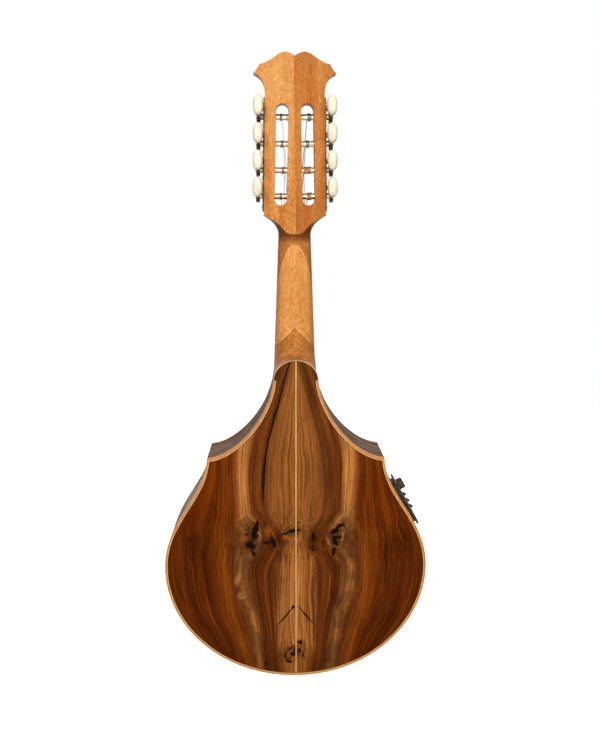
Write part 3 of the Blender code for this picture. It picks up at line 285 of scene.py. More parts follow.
VEIN_WIDTH = ((-290, 0.35), (-270, 1), (-248, 1.75), (-225, 1.15), (-190, 1.3), (-165, 1.05),
              (-140, 0.7), (-128, 0.5))
UPPER_COLORS = (
    (0, 172, 104, 46), (0.03, 150, 90, 38), (0.1, 152, 92, 42), (0.18, 136, 78, 32),
    (0.215, 112, 58, 22), (0.25, 128, 68, 26), (0.29, 96, 44, 14), (0.325, 118, 62, 24),
    (0.355, 172, 108, 54), (0.4, 192, 124, 64), (0.435, 150, 84, 36), (0.47, 100, 42, 8),
    (0.54, 120, 54, 8), (0.62, 92, 36, 4), (0.69, 120, 52, 6), (0.78, 90, 34, 3),
    (0.88, 112, 46, 5), (1, 82, 32, 4))
LOWER_COLORS = (
    (0, 178, 112, 54), (0.06, 164, 98, 44), (0.15, 142, 80, 32), (0.215, 118, 60, 20),
    (0.245, 92, 42, 10), (0.275, 110, 54, 16), (0.31, 82, 36, 8), (0.345, 112, 62, 26),
    (0.375, 158, 98, 50), (0.41, 146, 88, 42), (0.445, 104, 50, 16), (0.51, 132, 66, 16),
    (0.57, 116, 54, 10), (0.64, 78, 30, 4), (0.7, 96, 40, 7), (0.78, 80, 31, 4),
    (0.88, 106, 46, 9), (1, 80, 32, 5))
KNOTS = ((
    (-42.5, -312, 3.6, 9, -6), (-41.3, -303.5, 1.6, 5, -28), (-47.6, -326, 4.4, 4.8, -20),
    (-44.2, -334, 1.5, 4.6, 12), (-24, -322.6, 2.4, 6.2, 14), (-29.5, -323, 6, 1.4, 12),
    (-5, -311.5, 5.4, 1.5, 12), (1.8, -309.6, 3.6, 1.6, -8), (-12, -314, 3.4, 0.9, 20),
    (-51.5, -314, 1.2, 1.2, 0), (-32.4, -460, 1.4, 2.6, 0), (-3, -396.5, 1.5, 2.4, 0),
    (-6.4, -443.6, 5.4, 1.1, 38), (-11.6, -451, 1.1, 3.6, 0), (-7.6, -457.5, 4.6, 1.5, -24),
    (-3.6, -450, 2.6, 2, 0), (-0.9, -446, 1.2, 5, 0),
), (
    (41, -311, 5.4, 3, 30), (46.5, -305.5, 5.6, 1.5, 34), (40.6, -322, 3, 5.8, 22),
    (43.6, -318, 3.6, 2.2, 0), (39.8, -334, 1.6, 5.2, -10), (18, -318, 1.5, 5.4, 12),
    (17.8, -329, 1.3, 5.4, -14), (2.6, -301, 1, 0.9, 0), (4.4, -437, 3.6, 0.9, -30),
    (4, -446, 2.2, 3, 0), (8.6, -452, 1, 3.4, 12), (30.8, -458, 1, 2.2, 0),
))
SMOKE = ((-45, -318, 9, 17, 0), (-25, -324, 7, 8, 0), (43, -318, 9, 15, 0),
         (18.5, -324, 4.5, 11, 0), (-8, -449, 9, 11, 0), (5, -445, 7, 12, 0),
         (-2, -311, 9, 7, 0))
LENSES = ((-55, -318, 5, 3.4, 0), (-29.5, -312, 3, 7, 8))
GLEAMS = ((-37.6, -316, 0.9, 8, -6), (-59, -383, 3.4, 4.4, 10), (-60.5, -362, 2.6, 9, -14),
          (48.5, -318, 1, 8, -14), (34, -324, 1.2, 7, 18))
DULL_SPOTS = ((-58.6, -371, 1.9, 7.6, -22), (50, -300, 3.6, 5, -30))
EYES = ((-110.2, -320.1, 3, 2.4, 20), (104.4, -323.1, 2.6, 2.2, 0))


def back_figure(web, wander, drift):
    """Place across the bands of the figure, which is bent round the swirls."""
    a, z = abs(web.x), web.z
    crowd = z.bell(-318, 26)
    moved = a + (drift - 0.5) * 9 + (wander - 0.5) * (crowd * 11 + 4.5)
    for swirl_a, swirl_z, wide, tall, pull in SWIRLS:
        near = web.oval(a - swirl_a, z - swirl_z, wide * 1.5, tall * 1.5)
        moved = moved + (swirl_a - moved) * near * pull
    u = before = None
    first = 0
    for points, last in BANDS:
        line = z.track(points)
        offset = moved - before if before else moved
        width = line - before if before else line
        share = (offset / width * (last - first)).low(last - first).top(0)
        u = u + share if u else share
        before, first = line, last
    return u


def back_wood():
    web = Web("back_wood", roughness=0.32, specular=0.012)
    x, z = web.x, web.z
    a = abs(x)
    side = x.smooth(-0.2, 0.2)

    def along(scale, seed, rise, detail=2, roughness=0.5):
        return web.noise(u * scale, side * seed, z * rise, detail, roughness)

    def across(scale, seed, rise, detail=2, roughness=0.5, distortion=0):
        return web.noise(a * scale, side * seed, z * rise, detail, roughness, distortion)

    drift = across(0.012, 3, 0.010)
    wander = across(0.05, 3, 0.035, 3, 0.55)
    u = back_figure(web, wander, drift)

    grain = along(0.42, 5, 0.010, 4, 0.62)
    fine = along(1.7, 7, 0.022, 3, 0.65)
    bands = along(0.11, 0.6, 0.004)
    level = (u + ((bands - 0.5) * 6 + (grain - 0.5) * 6)) / 140
    web.paint((z + (drift - 0.5) * 30).smooth(-292, -330), level.ramp(LOWER_COLORS),
              level.ramp(UPPER_COLORS))
    web.shade(0.66 + grain.smooth(0.34, 0.64) * 0.58)
    web.shade(0.56 + fine * 0.86)
    web.shade(0.78 + along(0.85, 13, 0.011, 3, 0.55).smooth(0.42, 0.56) * 0.36)
    warm = along(0.7, 17, 0.009, 3, 0.6).smooth(0.57, 0.66) * a.smooth(24, 34)
    web.paint(warm * 0.42, (176, 94, 26))
    core = a.smooth(25, 17) * z.smooth(-322, -345) * z.smooth(-452, -432)
    lean = web.noise(x * 0.34 + (wander - 0.5) * 2.2, 5, z * 0.012, 3, 0.6)
    web.paint(core * lean.smooth(0.44, 0.6) * 0.42, (212, 144, 82))
    web.paint(core * lean.smooth(0.46, 0.36) * 0.4, (92, 46, 16))
    eddy = across(0.11, 6, 0.055, 4, 0.65, 1.6).smooth(0.58, 0.4) * 0.55 - 0.12
    web.shade(1 - z.bell(-318, 30) * a.smooth(80, 60) * eddy)
    web.shade(0.86 + across(0.05, 8, 0.028, 3, 0.6).smooth(0.3, 0.72) * 0.26)
    stop = u.bell(55, 12) * z.bell(-322, 17)
    web.paint((stop * 1.1).low(1) * 0.62, (88, 46, 18))
    broken = u.bell(55, 9) * z.smooth(-325, -345)
    web.shade(1 - broken * across(0.09, 4, 0.05).smooth(0.62, 0.45) * 0.42)

    # The dark line along the light centre, broad on the left and faint on the right.
    ragged = web.noise(x * 0.26, 2, z * 0.22, 4, 0.7)
    wobble = (wander - 0.5) * 3.4 + (ragged - 0.5) * 1.2
    edge = a - z.track(CENTER_EDGE)
    left = x.smooth(0, -1) * z.smooth(-287, -272)
    right = x.smooth(0, 1) * z.smooth(-292, -250)
    line = abs(edge - 0.6 - wobble) / z.track(VEIN_WIDTH)
    web.paint(left * line.smooth(1.25, 0.55) * 0.97, (17, 8, 4))
    web.paint(left * edge.bell(3, 2.4) * 0.45, (44, 20, 8))
    web.paint(right * (edge + 3.2 - wobble).bell(0, 1.5) * 0.62, (64, 38, 20))
    web.paint(right * edge.bell(2, 3) * 0.5, (56, 28, 12))

    # Knots with smoke round them, and the lights and darks beside them.
    warp_x, warp_z = (v + (web.noise(x * 0.13, seed, z * 0.13, 3, 0.6) - 0.5) * 9
                      for v, seed in ((x, 7), (z, 19)))

    def marks(spots):
        return web.marks(warp_x, warp_z, spots)

    knots = marks(KNOTS[0]).top(marks(KNOTS[1])) + (ragged - 0.5) * 0.85
    smoke = marks(SMOKE)
    swirl = (smoke * 17 + wander * 16).sine() * 0.5 + 0.5
    web.shade(1 - smoke.smooth(0.12, 0.55) * swirl * 0.42)
    web.paint(smoke.smooth(0.15, 0.9) * 0.28, (70, 34, 12))
    web.paint(knots.smooth(0.06, 0.4) * 0.45, (58, 26, 8))
    web.paint(knots.smooth(0.3, 0.5) * 0.96, (19, 8, 4))
    web.paint(marks(LENSES).smooth(0.2, 0.9) * 0.7, (150, 78, 24))
    fleck = web.noise(x * 2.6, side * 5, z * 0.34, 2, 0.6)
    on_band = a.bell(55, 16) + a.bell(12, 16) * 0.8
    spread = fleck.smooth(0.52, 0.66) * -0.26 + fleck.smooth(0.46, 0.34) * 0.12
    web.shade(spread * on_band + 1)
    web.paint(marks(GLEAMS).smooth(0.05, 0.95) * (fine * 1.3) * 0.62, (206, 140, 78))
    web.paint(marks(DULL_SPOTS).smooth(0.2, 0.7) * 0.6, (84, 46, 20))
    web.paint(marks(EYES).smooth(0.15, 0.95) * 0.6, (50, 22, 8))
    patch = abs(x + 51.5) + abs(z + 301) * 0.85 + (ragged - 0.5) * 3
    web.paint(patch.smooth(7.6, 6.4) * 0.55, (96, 54, 24))
    web.paint(patch.bell(7.6, 0.9) * z.smooth(-296, -300) * 0.7, (48, 24, 10))

    # The V mark at the middle of the lower bout.
    vee = abs(z + 392.5 + a * 1.22 + (wander - 0.5) * 2) / (0.55 + a.bell(11, 5) * 1.3)
    vee = vee.smooth(1.5, 0.7) * a.smooth(24, 17) * a.smooth(1, 2.5)
    web.paint(vee * 0.88, (36, 17, 7))

    pores = along(3.4, 9, 0.26, 2, 0.6).smooth(0.6, 0.7)
    web.paint(pores * 0.42, (50, 24, 9))
    web.paint(along(2.6, 11, 0.18, 2, 0.6).smooth(0.64, 0.74) * 0.3, (214, 140, 72))
    web.shade(0.96 - (a.smooth(70, 136) * 0.1 + z.smooth(-430, -476) * 0.22))
    return web.finish(pores * -0.6 + fine * 0.3, 0.03)


def head_wood():
    """Orange wood of neck and head, with short pores; the two halves of the head differ."""
    web = Web("neck_wood", roughness=0.34, specular=0.018)
    x, y, z = web.x, web.y, web.z
    u = x + (web.noise(x * 0.02, y * 0.02, z * 0.008) - 0.5) * 14
    head = z.smooth(-9, -3)
    right = (x + z * 0.012 - 1).smooth(-0.25, 0.25) * head
    behind = y + 8.5 + z * 0.035
    broad = web.noise(u * 0.1, y * 0.08 + right * 6, z * 0.008, 3, 0.55)
    fleck = web.noise(u * 0.6, y * 0.5, z * 0.22, 4, 0.68)
    hair = web.noise(u * 2, y * 1.4, z * 0.09, 3, 0.6)
    web.color = (broad * 0.45 + fleck * 0.55).ramp((
        (0.32, 158, 82, 28), (0.43, 206, 128, 58), (0.55, 228, 154, 80), (0.66, 250, 194, 122)))
    web.shade(0.73 + hair * 0.54)
    web.paint(z.smooth(36, 110) * (1 - right) * 0.3, (244, 188, 120))
    web.paint(right * 0.44 + z.smooth(50, 12) * head * 0.16, (160, 76, 18))

    # The shaft: a light tongue below the head as painted reflection, painted shade beside it and
    # on the heel's foot, and painted highlights along its rim and the heel's V line.
    shaft = z.smooth(-6, -9.5)
    arch = z + 17.7 + x * x * 0.09 + x * x * x * x * 0.00012
    painted_reflection = (arch + (fleck - 0.5) * 2).smooth(1.2, -1.2)
    heel = z + 103.3 + abs(x) * 0.98 + (broad - 0.5) * 5
    foot = heel.smooth(0.8, -0.8)
    # Painted shade on the shaft beside the tongue and on the heel's foot.
    web.paint(shaft * (1 - painted_reflection).top(foot * 0.75) * 0.5, (142, 70, 20))
    # Deeper painted shade just below the volute, beside the tongue.
    web.paint(shaft * (z.smooth(-16.5, -11) * (1 - painted_reflection)) * 0.5, (122, 56, 14))
    # Painted reflection: the light tongue down the middle of the shaft.
    web.paint(shaft * painted_reflection * (1 - foot) * 0.22, (250, 186, 110))
    # Painted highlights along the tongue's rim and the heel's V line.
    web.paint(shaft * (arch.bell(-1.6, 1.3) + heel.bell(0.6, 0.9)) * 0.3, (255, 206, 138))
    # Painted shade on the heel's foot, made patchy with noise.
    slope = web.noise((x + z) * 0.1, y * 0.05, (x - z) * 0.5, 3, 0.6)
    web.shade(1 - foot * slope.smooth(0.6, 0.35) * 0.3)

    # Painted shade in the coves of the volute, just below the head.
    cove = behind.smooth(0.05, 0.9) * behind.smooth(14, 7) * z.smooth(13.5, 10)
    web.paint(cove * z.smooth(-19, -5) * 0.86, (78, 38, 12))
    dash = web.noise(u * 2.8, y * 3, z * 0.4, 2, 0.55).smooth(0.58, 0.68)
    web.paint(dash * 0.6, (122, 58, 18))
    blot = web.noise(u * 1.25, y * 1.2 + 40, z * 0.26, 2, 0.55)
    web.paint(blot.smooth(0.54, 0.66) * 0.42, (164, 88, 30))
    web.paint(blot.smooth(0.44, 0.34) * (0.08 + shaft * 0.14), (250, 190, 116))
    # Painted shade on the walls of the two slots.
    cut = abs(abs(x) - 13.4).smooth(7.4, 7) * z.smooth(21.4, 22) * z.smooth(123, 122.4)
    cut = cut * behind.smooth(0.25, 0.6) * behind.smooth(16.9, 16.5)
    web.paint(cut * 0.62, (84, 46, 22))
    return web.finish(dash * -0.7 + hair * 0.4, 0.05)


def rib_wood():
    """Dark glossy sides with a fine curved figure."""
    web = Web("rib_wood", roughness=0.3, specular=0.006)
    x, y, z = web.x, web.y, web.z

    v = y + (web.noise(x * 0.012, y * 0.03, z * 0.012) - 0.5) * 34

    def layer(scale, rise, *rest):
        return web.noise(x * scale, v * rise, z * scale, *rest)

    band = layer(0.004, 0.14, 3, 0.55)
    hair = layer(0.015, 1.3, 3, 0.6)
    web.color = (band * 0.75 + hair * 0.25).ramp((
        (0.36, 38, 24, 17), (0.43, 104, 80, 64), (0.54, 150, 124, 104), (0.62, 74, 50, 37)))
    web.paint(layer(0.01, 0.42, 3, 0.55).bell(0.5, 0.035) * 0.8, (34, 18, 11))
    pores = layer(0.22, 3.6).smooth(0.58, 0.68)
    web.paint(pores * 0.6, (28, 15, 9))
    oiled = layer(0.012, 0.3, 3, 0.6, 1.5)
    web.feed(web.shader["Specular IOR Level"], oiled.smooth(0.5, 0.6) * 0.012)
    return web.finish(pores * -0.6 + hair * 0.3, 0.01)


def stretched(web, factors):
    return [getattr(web, axis) * factor for axis, factor in zip("xyz", factors)]


def plain_wood(name, light, dark, across="xy", pore=0.3, roughness=0.4, specular=0.1):
    """Straight-grained wood; across names the axes that the grain lines follow each other on."""
    web = Web(name, roughness=roughness, coat_roughness=0.12, specular=specular)
    factors = [0.9 if axis in across else 0.02 for axis in "xyz"]
    band = web.noise(*stretched(web, factors), 4, 0.6)
    hair = web.noise(*stretched(web, [factor * 4 for factor in factors]), 3, 0.6)
    web.color = (band * 0.6 + hair * 0.4).ramp(((0.33, *dark), (0.66, *light)))
    web.paint(hair.smooth(0.58, 0.68) * pore, tuple(c * 0.45 for c in dark))
    return web.finish(hair, 0.04)


def top_wood():
    """Spruce with close lines and a ring of inlay round the soundhole."""
    web = Web("top_wood", roughness=0.34, coat=0.35, specular=0.4)
    x, z = web.x, web.z
    a = abs(x)
    u = a + (web.noise(a * 0.01, 0, z * 0.006) - 0.5) * 5
    year = (u * 4.2 + web.noise(u * 0.3, 0, 0) * 6).sine()
    silk = web.noise(u * 0.4, 0, z * 0.1, 3, 0.6)
    web.color = (year * 0.3 + 0.5 + (silk - 0.5) * 0.5).ramp((
        (0.15, 224, 168, 96), (0.6, 216, 154, 82), (0.85, 186, 118, 54)))
    dz = z + -HOLE_Z
    radius = web.math("SQRT", x * x + dz * dz)
    tile = (web.math("ARCTAN2", x, dz) * 64).sine() * (radius * 3.1).sine()
    web.paint(abs(radius - 39).smooth(3.3, 3.1),
              (tile * 0.5 + 0.5).ramp(((0.4, 44, 22, 12), (0.55, 196, 140, 78))))
    for offset, width, tint in ((3.8, 0.5, (30, 16, 9)), (4.7, 0.35, (226, 190, 134)),
                                (5.6, 0.45, (60, 28, 14))):
        for middle in (39 - offset, 39 + offset):
            line = abs(radius - middle).smooth(width + 0.12, width - 0.05)
            web.paint(line, tint)
    return web.finish(year * 0.2 + silk, 0.02)


# Metals and plastics


def metal(name, color, worn, roughness, streak, tarnish, grain=1):
    web = Web(name, roughness=roughness, metallic=1)
    brushed = stretched(web, [0.4 if axis == streak else 7 for axis in "xyz"])
    brush = web.noise(*(value * grain for value in brushed), 2, 0.6)
    patch = web.noise(*stretched(web, [0.35 * grain] * 3), 4, 0.65)
    dull = patch.smooth(0.45, 0.7)
    web.paint(dull * tarnish, worn, color)
    web.shade(0.9 + brush * 0.2)
    return web.finish(brush, 0.006, dull * 0.22 + brush * 0.1 + roughness - 0.08)


def ivory(name):
    """Pearly plastic with soft clouds."""
    web = Web(name, roughness=0.24, specular=0.35)
    cloud = web.noise(*stretched(web, (0.16, 0.1, 0.1)), 3, 0.6, 1.2)
    vein = web.noise(*stretched(web, (0.5, 0.3, 0.22)), 2, 0.5, 2)
    web.color = (cloud * 0.7 + vein * 0.3).ramp((
        (0.3, 230, 210, 172), (0.5, 243, 231, 204), (0.68, 252, 245, 227)))
    web.shader["Subsurface Weight"].default_value = 0.15
    web.shader["Subsurface Scale"].default_value = 0.002
    web.shader["Subsurface Radius"].default_value = (1.0, 0.7, 0.4)
    return web.finish(vein, 0.01)


def plastic(name, color, scuffed):
    web = Web(name, roughness=0.45, specular=0.2)
    speck = web.noise(*stretched(web, [3] * 3), 2, 0.6)
    patch = web.noise(*stretched(web, [0.2] * 3), 3, 0.6)
    web.paint(patch.smooth(0.4, 0.75) * 0.6 + speck * 0.25, scuffed, color)
    return web.finish(speck, 0.02, patch * 0.2 + 0.45 - 0.1)


def wound_copper():
    """Wrapped string: fine turns along the string's length."""
    web = Web("wound_copper", roughness=0.34, metallic=1)
    turns = (web.z * (2 * math.pi / 0.34) + web.x * 2).sine()
    shine = web.noise(*stretched(web, (0.8, 0.8, 0.3)), 3, 0.6)
    # The turns are coloured by the same wave as their bump: painted shade in the grooves between
    # them.
    web.color = (turns * 0.5 + 0.5).ramp(((0.1, 160, 110, 62), (0.5, 226, 176, 112)))
    web.shade(0.75 + shine * 0.5)
    return web.finish(turns, 0.03)


BACK = back_wood()
NECK = head_wood()
RIBS = rib_wood()
BIND = plain_wood("binding_wood", (226, 156, 84), (186, 108, 44), pore=0.15)
PURFLE_LIGHT = plain_wood("purfling_light", (236, 204, 156), (208, 168, 112), pore=0.1)
PURFLE_DARK = plain_wood("purfling_dark", (58, 30, 14), (34, 17, 9), pore=0.2)
STRIP = plain_wood("centre_strip", (232, 182, 120), (198, 140, 78), pore=0.1)
TOP = top_wood()
EBONY = plain_wood("dark_wood", (52, 34, 24), (24, 14, 10), "xy", 0.5, 0.42, 0.15)
ROSEWOOD = plain_wood("bridge_wood", (92, 50, 28), (44, 22, 13), "yz", 0.5, 0.4, 0.15)
INNER = plain_wood("inner_wood", (214, 172, 118), (176, 130, 80), "xy", 0.2, 0.7)
NICKEL = metal("nickel", (168, 160, 148), (128, 114, 96), 0.3, "x", 0.3, 0.25)
ROLLER_METAL = metal("roller_metal", (172, 160, 142), (92, 74, 56), 0.3, "x", 0.6)
STEEL = metal("string_steel", (150, 142, 130), (104, 92, 76), 0.32, "z", 0.35)
FRET_METAL = metal("fret_metal", (196, 190, 178), (150, 138, 118), 0.22, "x", 0.3)
BRASS = metal("worn_brass", (84, 60, 42), (40, 28, 20), 0.34, "z", 0.8)
GEAR_METAL = metal("gear_metal", (92, 68, 50), (46, 32, 24), 0.34, "x", 0.8)
PLATE_METAL = metal("plate_metal", (96, 76, 60), (44, 32, 25), 0.34, "z", 0.8)
COPPER = wound_copper()
IVORY = ivory("ivory_plastic")
BONE = plain_wood("bone", (240, 228, 202), (222, 204, 168), "yz", 0.1, 0.35, 0.4)
BLACK = plastic("black_plastic", (38, 28, 22), (86, 68, 56))
WHITE = plastic("panel_white", (206, 200, 190), (150, 144, 134))
PEARL = ivory("pearl_dots")


# Building blocks


def place(x, depth, z):
    """Point of the shared frame; the depth counts from the back."""
    return Vector((x * MM, (BACK_Y + depth) * MM, z * MM))


def at(x, depth, z):
    return Matrix.Translation(place(x, depth, z))


def point(spot, x, y, z):
    return spot @ Vector((x * MM, y * MM, z * MM))


def shift(x, y, z):
    return Matrix.Translation((x * MM, y * MM, z * MM))


def dress(obj, mat, replaces=None, body="instrument"):
    """Give a piece its material and its body, and hide the part it stands for."""
    obj.data.materials.clear()
    obj.data.materials.append(mat)
    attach(obj, body)
    if replaces:
        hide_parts(replaces)


def new_object(name, data, matrix=None):
    obj = bpy.data.objects.new(name, data)
    bpy.context.scene.collection.objects.link(obj)
    if matrix is not None:
        obj.matrix_world = matrix
    return obj


def discard(objects):
    for obj in objects:
        bpy.data.objects.remove(obj, do_unlink=True)


def sharpen(obj, angle):
    """Smooth shading with sharp edges above an angle in degrees."""
    obj.data.shade_smooth()
    obj.data.set_sharp_from_angle(angle=math.radians(angle))
    return obj


def finished(name, shape, matrix, angle):
    """Object from a bmesh, with its normals outward."""
    bmesh.ops.recalc_face_normals(shape, faces=shape.faces)
    mesh = bpy.data.meshes.new(name)
    shape.to_mesh(mesh)
    shape.free()
    if matrix is not None:
        mesh.transform(matrix)
    return sharpen(new_object(name, mesh), angle)


def as_mesh(obj, angle=35):
    """Apply a curve's or modifiers' shape and bring it to the shared frame."""
    bpy.context.view_layer.update()
    source = obj.evaluated_get(bpy.context.evaluated_depsgraph_get())
    mesh = bpy.data.meshes.new_from_object(source)
    mesh.transform(obj.matrix_world)
    shape = bmesh.new()
    shape.from_mesh(mesh)
    bmesh.ops.remove_doubles(shape, verts=shape.verts, dist=0.000004)
    name = obj.name
    discard([obj])
    done = finished(name, shape, None, angle)
    bpy.data.meshes.remove(mesh)
    return done


def curve_object(name, lines, closed, **settings):
    curve = bpy.data.curves.new(name, "CURVE")
    for key, value in settings.items():
        setattr(curve, key, value)
    for line in lines:
        spline = curve.splines.new("POLY")
        spline.points.add(len(line) - 1)
        for knot, co in zip(spline.points, line):
            knot.co = (*co, 1)
        spline.use_cyclic_u = closed
    return new_object(name, curve)


def slab(name, loops, depth_back, depth_front, bevel=0, matrix=None):
    """Flat piece parallel to the back, with softened edges."""
    settings = {"bevel_depth": bevel * MM, "bevel_resolution": 0, "offset": -bevel * MM}
    lines = [[(x * MM, z * MM, 0) for x, z in loop] for loop in loops]
    obj = curve_object(
        name, lines, True, dimensions="2D", fill_mode="BOTH",
        extrude=((depth_front - depth_back) / 2 - bevel) * MM, **(settings if bevel else {}))
    flat = at(0, (depth_back + depth_front) / 2, 0)
    obj.matrix_world = (matrix or Matrix.Identity(4)) @ flat @ Matrix.Rotation(
        math.radians(90), 4, "X")
    return as_mesh(obj)


def tube(name, points, radius):
    return as_mesh(curve_object(name, [points], False, dimensions="3D", bevel_resolution=3,
                                bevel_depth=radius * MM, use_fill_caps=True), 60)


def box(name, size, center, matrix=None, bevel=0):
    """Block; without a matrix its centre is counted as in place()."""
    shape = bmesh.new()
    bmesh.ops.create_cube(shape, size=1)
    bmesh.ops.scale(shape, vec=[length * MM for length in size], verts=shape.verts)
    if bevel:
        bmesh.ops.bevel(shape, geom=shape.edges[:], offset=bevel * MM, segments=2,
                        profile=0.5, affect="EDGES")
    bmesh.ops.translate(shape, vec=[x * MM for x in center], verts=shape.verts)
    return finished(name, shape, matrix or at(0, 0, 0), 50)


def turned(name, profile, matrix, sides=48):
    """Turned piece about local Z; the profile runs from its top to its bottom."""
    shape = bmesh.new()
    turn = 2 * math.pi / sides
    rings = []
    for radius, height in profile:
        radius, height = radius * MM, height * MM
        rings.append([
            shape.verts.new((radius * math.cos(turn * i), radius * math.sin(turn * i), height))
            for i in (range(sides) if radius > 0 else (0,))])
    for first, second in zip(rings, rings[1:]):
        for i in range(sides):
            j = (i + 1) % sides
            corners = [first[i % len(first)], first[j % len(first)],
                       second[j % len(second)], second[i % len(second)]]
            face = list(dict.fromkeys(corners))
            if len(face) >= 3:
                shape.faces.new(face)
    return finished(name, shape, matrix, 35)


def rod(name, radius, reach, matrix, sides=48):
    """Plain cylinder about local Z, reaching as far each way; for cuts."""
    profile = [(0, reach), (radius, reach), (radius, -reach), (0, -reach)]
    return turned(name, profile, matrix, sides)


def loft(name, sections, angle=35):
    """Closed skin over rings of points in metres."""
    shape = bmesh.new()
    rings = [[shape.verts.new(co) for co in ring] for ring in sections]
    count = len(rings[0])
    for low, high in zip(rings, rings[1:]):
        for index in range(count):
            after = (index + 1) % count
            shape.faces.new((low[index], low[after], high[after], high[index]))
    shape.faces.new(rings[0][::-1])
    shape.faces.new(rings[-1])
    bmesh.ops.remove_doubles(shape, verts=shape.verts, dist=0.000005)
    return finished(name, shape, None, angle)


def cut(target, tools, angle=35):
    """Take tools out of a piece and remove them."""
    for tool in tools:
        modifier = target.modifiers.new("cut", "BOOLEAN")
        modifier.operation = "DIFFERENCE"
        modifier.solver = "EXACT"
        modifier.object = tool
    done = as_mesh(target, angle)
    discard(tools)
    return done


def joined(name, objects, angle=None):
    """One object from several meshes that share a material."""
    mesh = bpy.data.meshes.new(name)
    shape = bmesh.new()
    for obj in objects:
        obj.data.transform(obj.matrix_world)
        shape.from_mesh(obj.data)
    discard(objects)
    shape.to_mesh(mesh)
    shape.free()
    piece = new_object(name, mesh)
    return sharpen(piece, angle) if angle else piece


def arc(start, handle_a, handle_b, end, steps):
    """Bezier curve without its end; the handles are offsets from start and end."""
    knots = [Vector((x * MM, z * MM, 0)) for x, z in (
        start, (start[0] + handle_a[0], start[1] + handle_a[1]),
        (end[0] + handle_b[0], end[1] + handle_b[1]), end)]
    return [(p.x / MM, p.y / MM) for p in interpolate_bezier(*knots, steps + 1)[:-1]]


def between(start, end, share):
    return start + (end - start) * share


def ring_of(steps, start=0.0, reach=2 * math.pi):
    """Cosine and sine at equal steps of a turn."""
    return [(math.cos(start + reach * i / steps), math.sin(start + reach * i / steps))
            for i in range(steps if reach == 2 * math.pi else steps + 1)]


def mirrored(points):
    return [(-x, z) for x, z in points]


# Body


OUTLINE = [*arc(SHOULDER, (3.2, -37.2), (-30.6, 1.8), POINT, 40),
           *arc(POINT, (2.6, -43.5), (0, 53), WIDEST, 40),
           *arc(WIDEST, (0, -66.3), (77.8, 0), (0, TAIL_Z), 64), (0, TAIL_Z)]
CORNER_INDEX = 40


def inset(amount):
    """Body outline moved inward; its crossing points at the body's points are dropped."""
    start_z = SHOULDER[1] - GAP
    moved = []
    for index, (x, z) in enumerate(OUTLINE[:-1]):
        before = OUTLINE[max(index - 1, 0)]
        after = OUTLINE[index + 1]
        normals = []
        for a, b in ((before, (x, z)), ((x, z), after)):
            dx, dz = b[0] - a[0], b[1] - a[1]
            length = math.hypot(dx, dz)
            if length > 0:
                normals.append((dz / length, -dx / length))
        nx, nz = (sum(values) for values in zip(*normals))
        scale = len(normals) / (nx * nx + nz * nz)
        moved.append((x + nx * scale * amount, z + nz * scale * amount))
    moved.append((0, TAIL_Z + amount))
    tip = moved[CORNER_INDEX]
    kept = [p for p in moved[:CORNER_INDEX] if p[0] < tip[0] - 0.02 or p[1] > tip[1] + 3]
    kept += [tip] + [p for p in moved[CORNER_INDEX + 1:] if p[1] < tip[1] - 0.02]
    below = next(i for i, p in enumerate(kept) if p[1] < start_z)
    first, second = kept[max(below - 1, 0)], kept[below]
    share = (first[1] - start_z) / (first[1] - second[1]) if below else 0
    return [(between(first[0], second[0], share), start_z)] + kept[below:]


def full_loop(half):
    return half + mirrored(half[:-1])[::-1]


def horseshoe(near, far):
    outer, inner = inset(near), inset(far)
    return full_loop(outer) + mirrored(inner) + inner[:-1][::-1]


def heel_arch(less):
    """Right half of the arch over the heel, from its top, made smaller by a width."""
    return [((SHOULDER[0] - less) * math.cos(angle),
             SHOULDER[1] + (HEEL_CAP_RISE - less) * math.sin(angle))
            for angle in (math.pi / 2 * (1 - index / 40) for index in range(41))]


def heel_band(near, far):
    outer, inner = heel_arch(near), heel_arch(far)
    return mirrored(outer)[::-1] + outer[1:] + inner[::-1] + mirrored(inner)[1:]


def hole(radius):
    return [(radius * cos, HOLE_Z + radius * sin) for cos, sin in ring_of(96)]


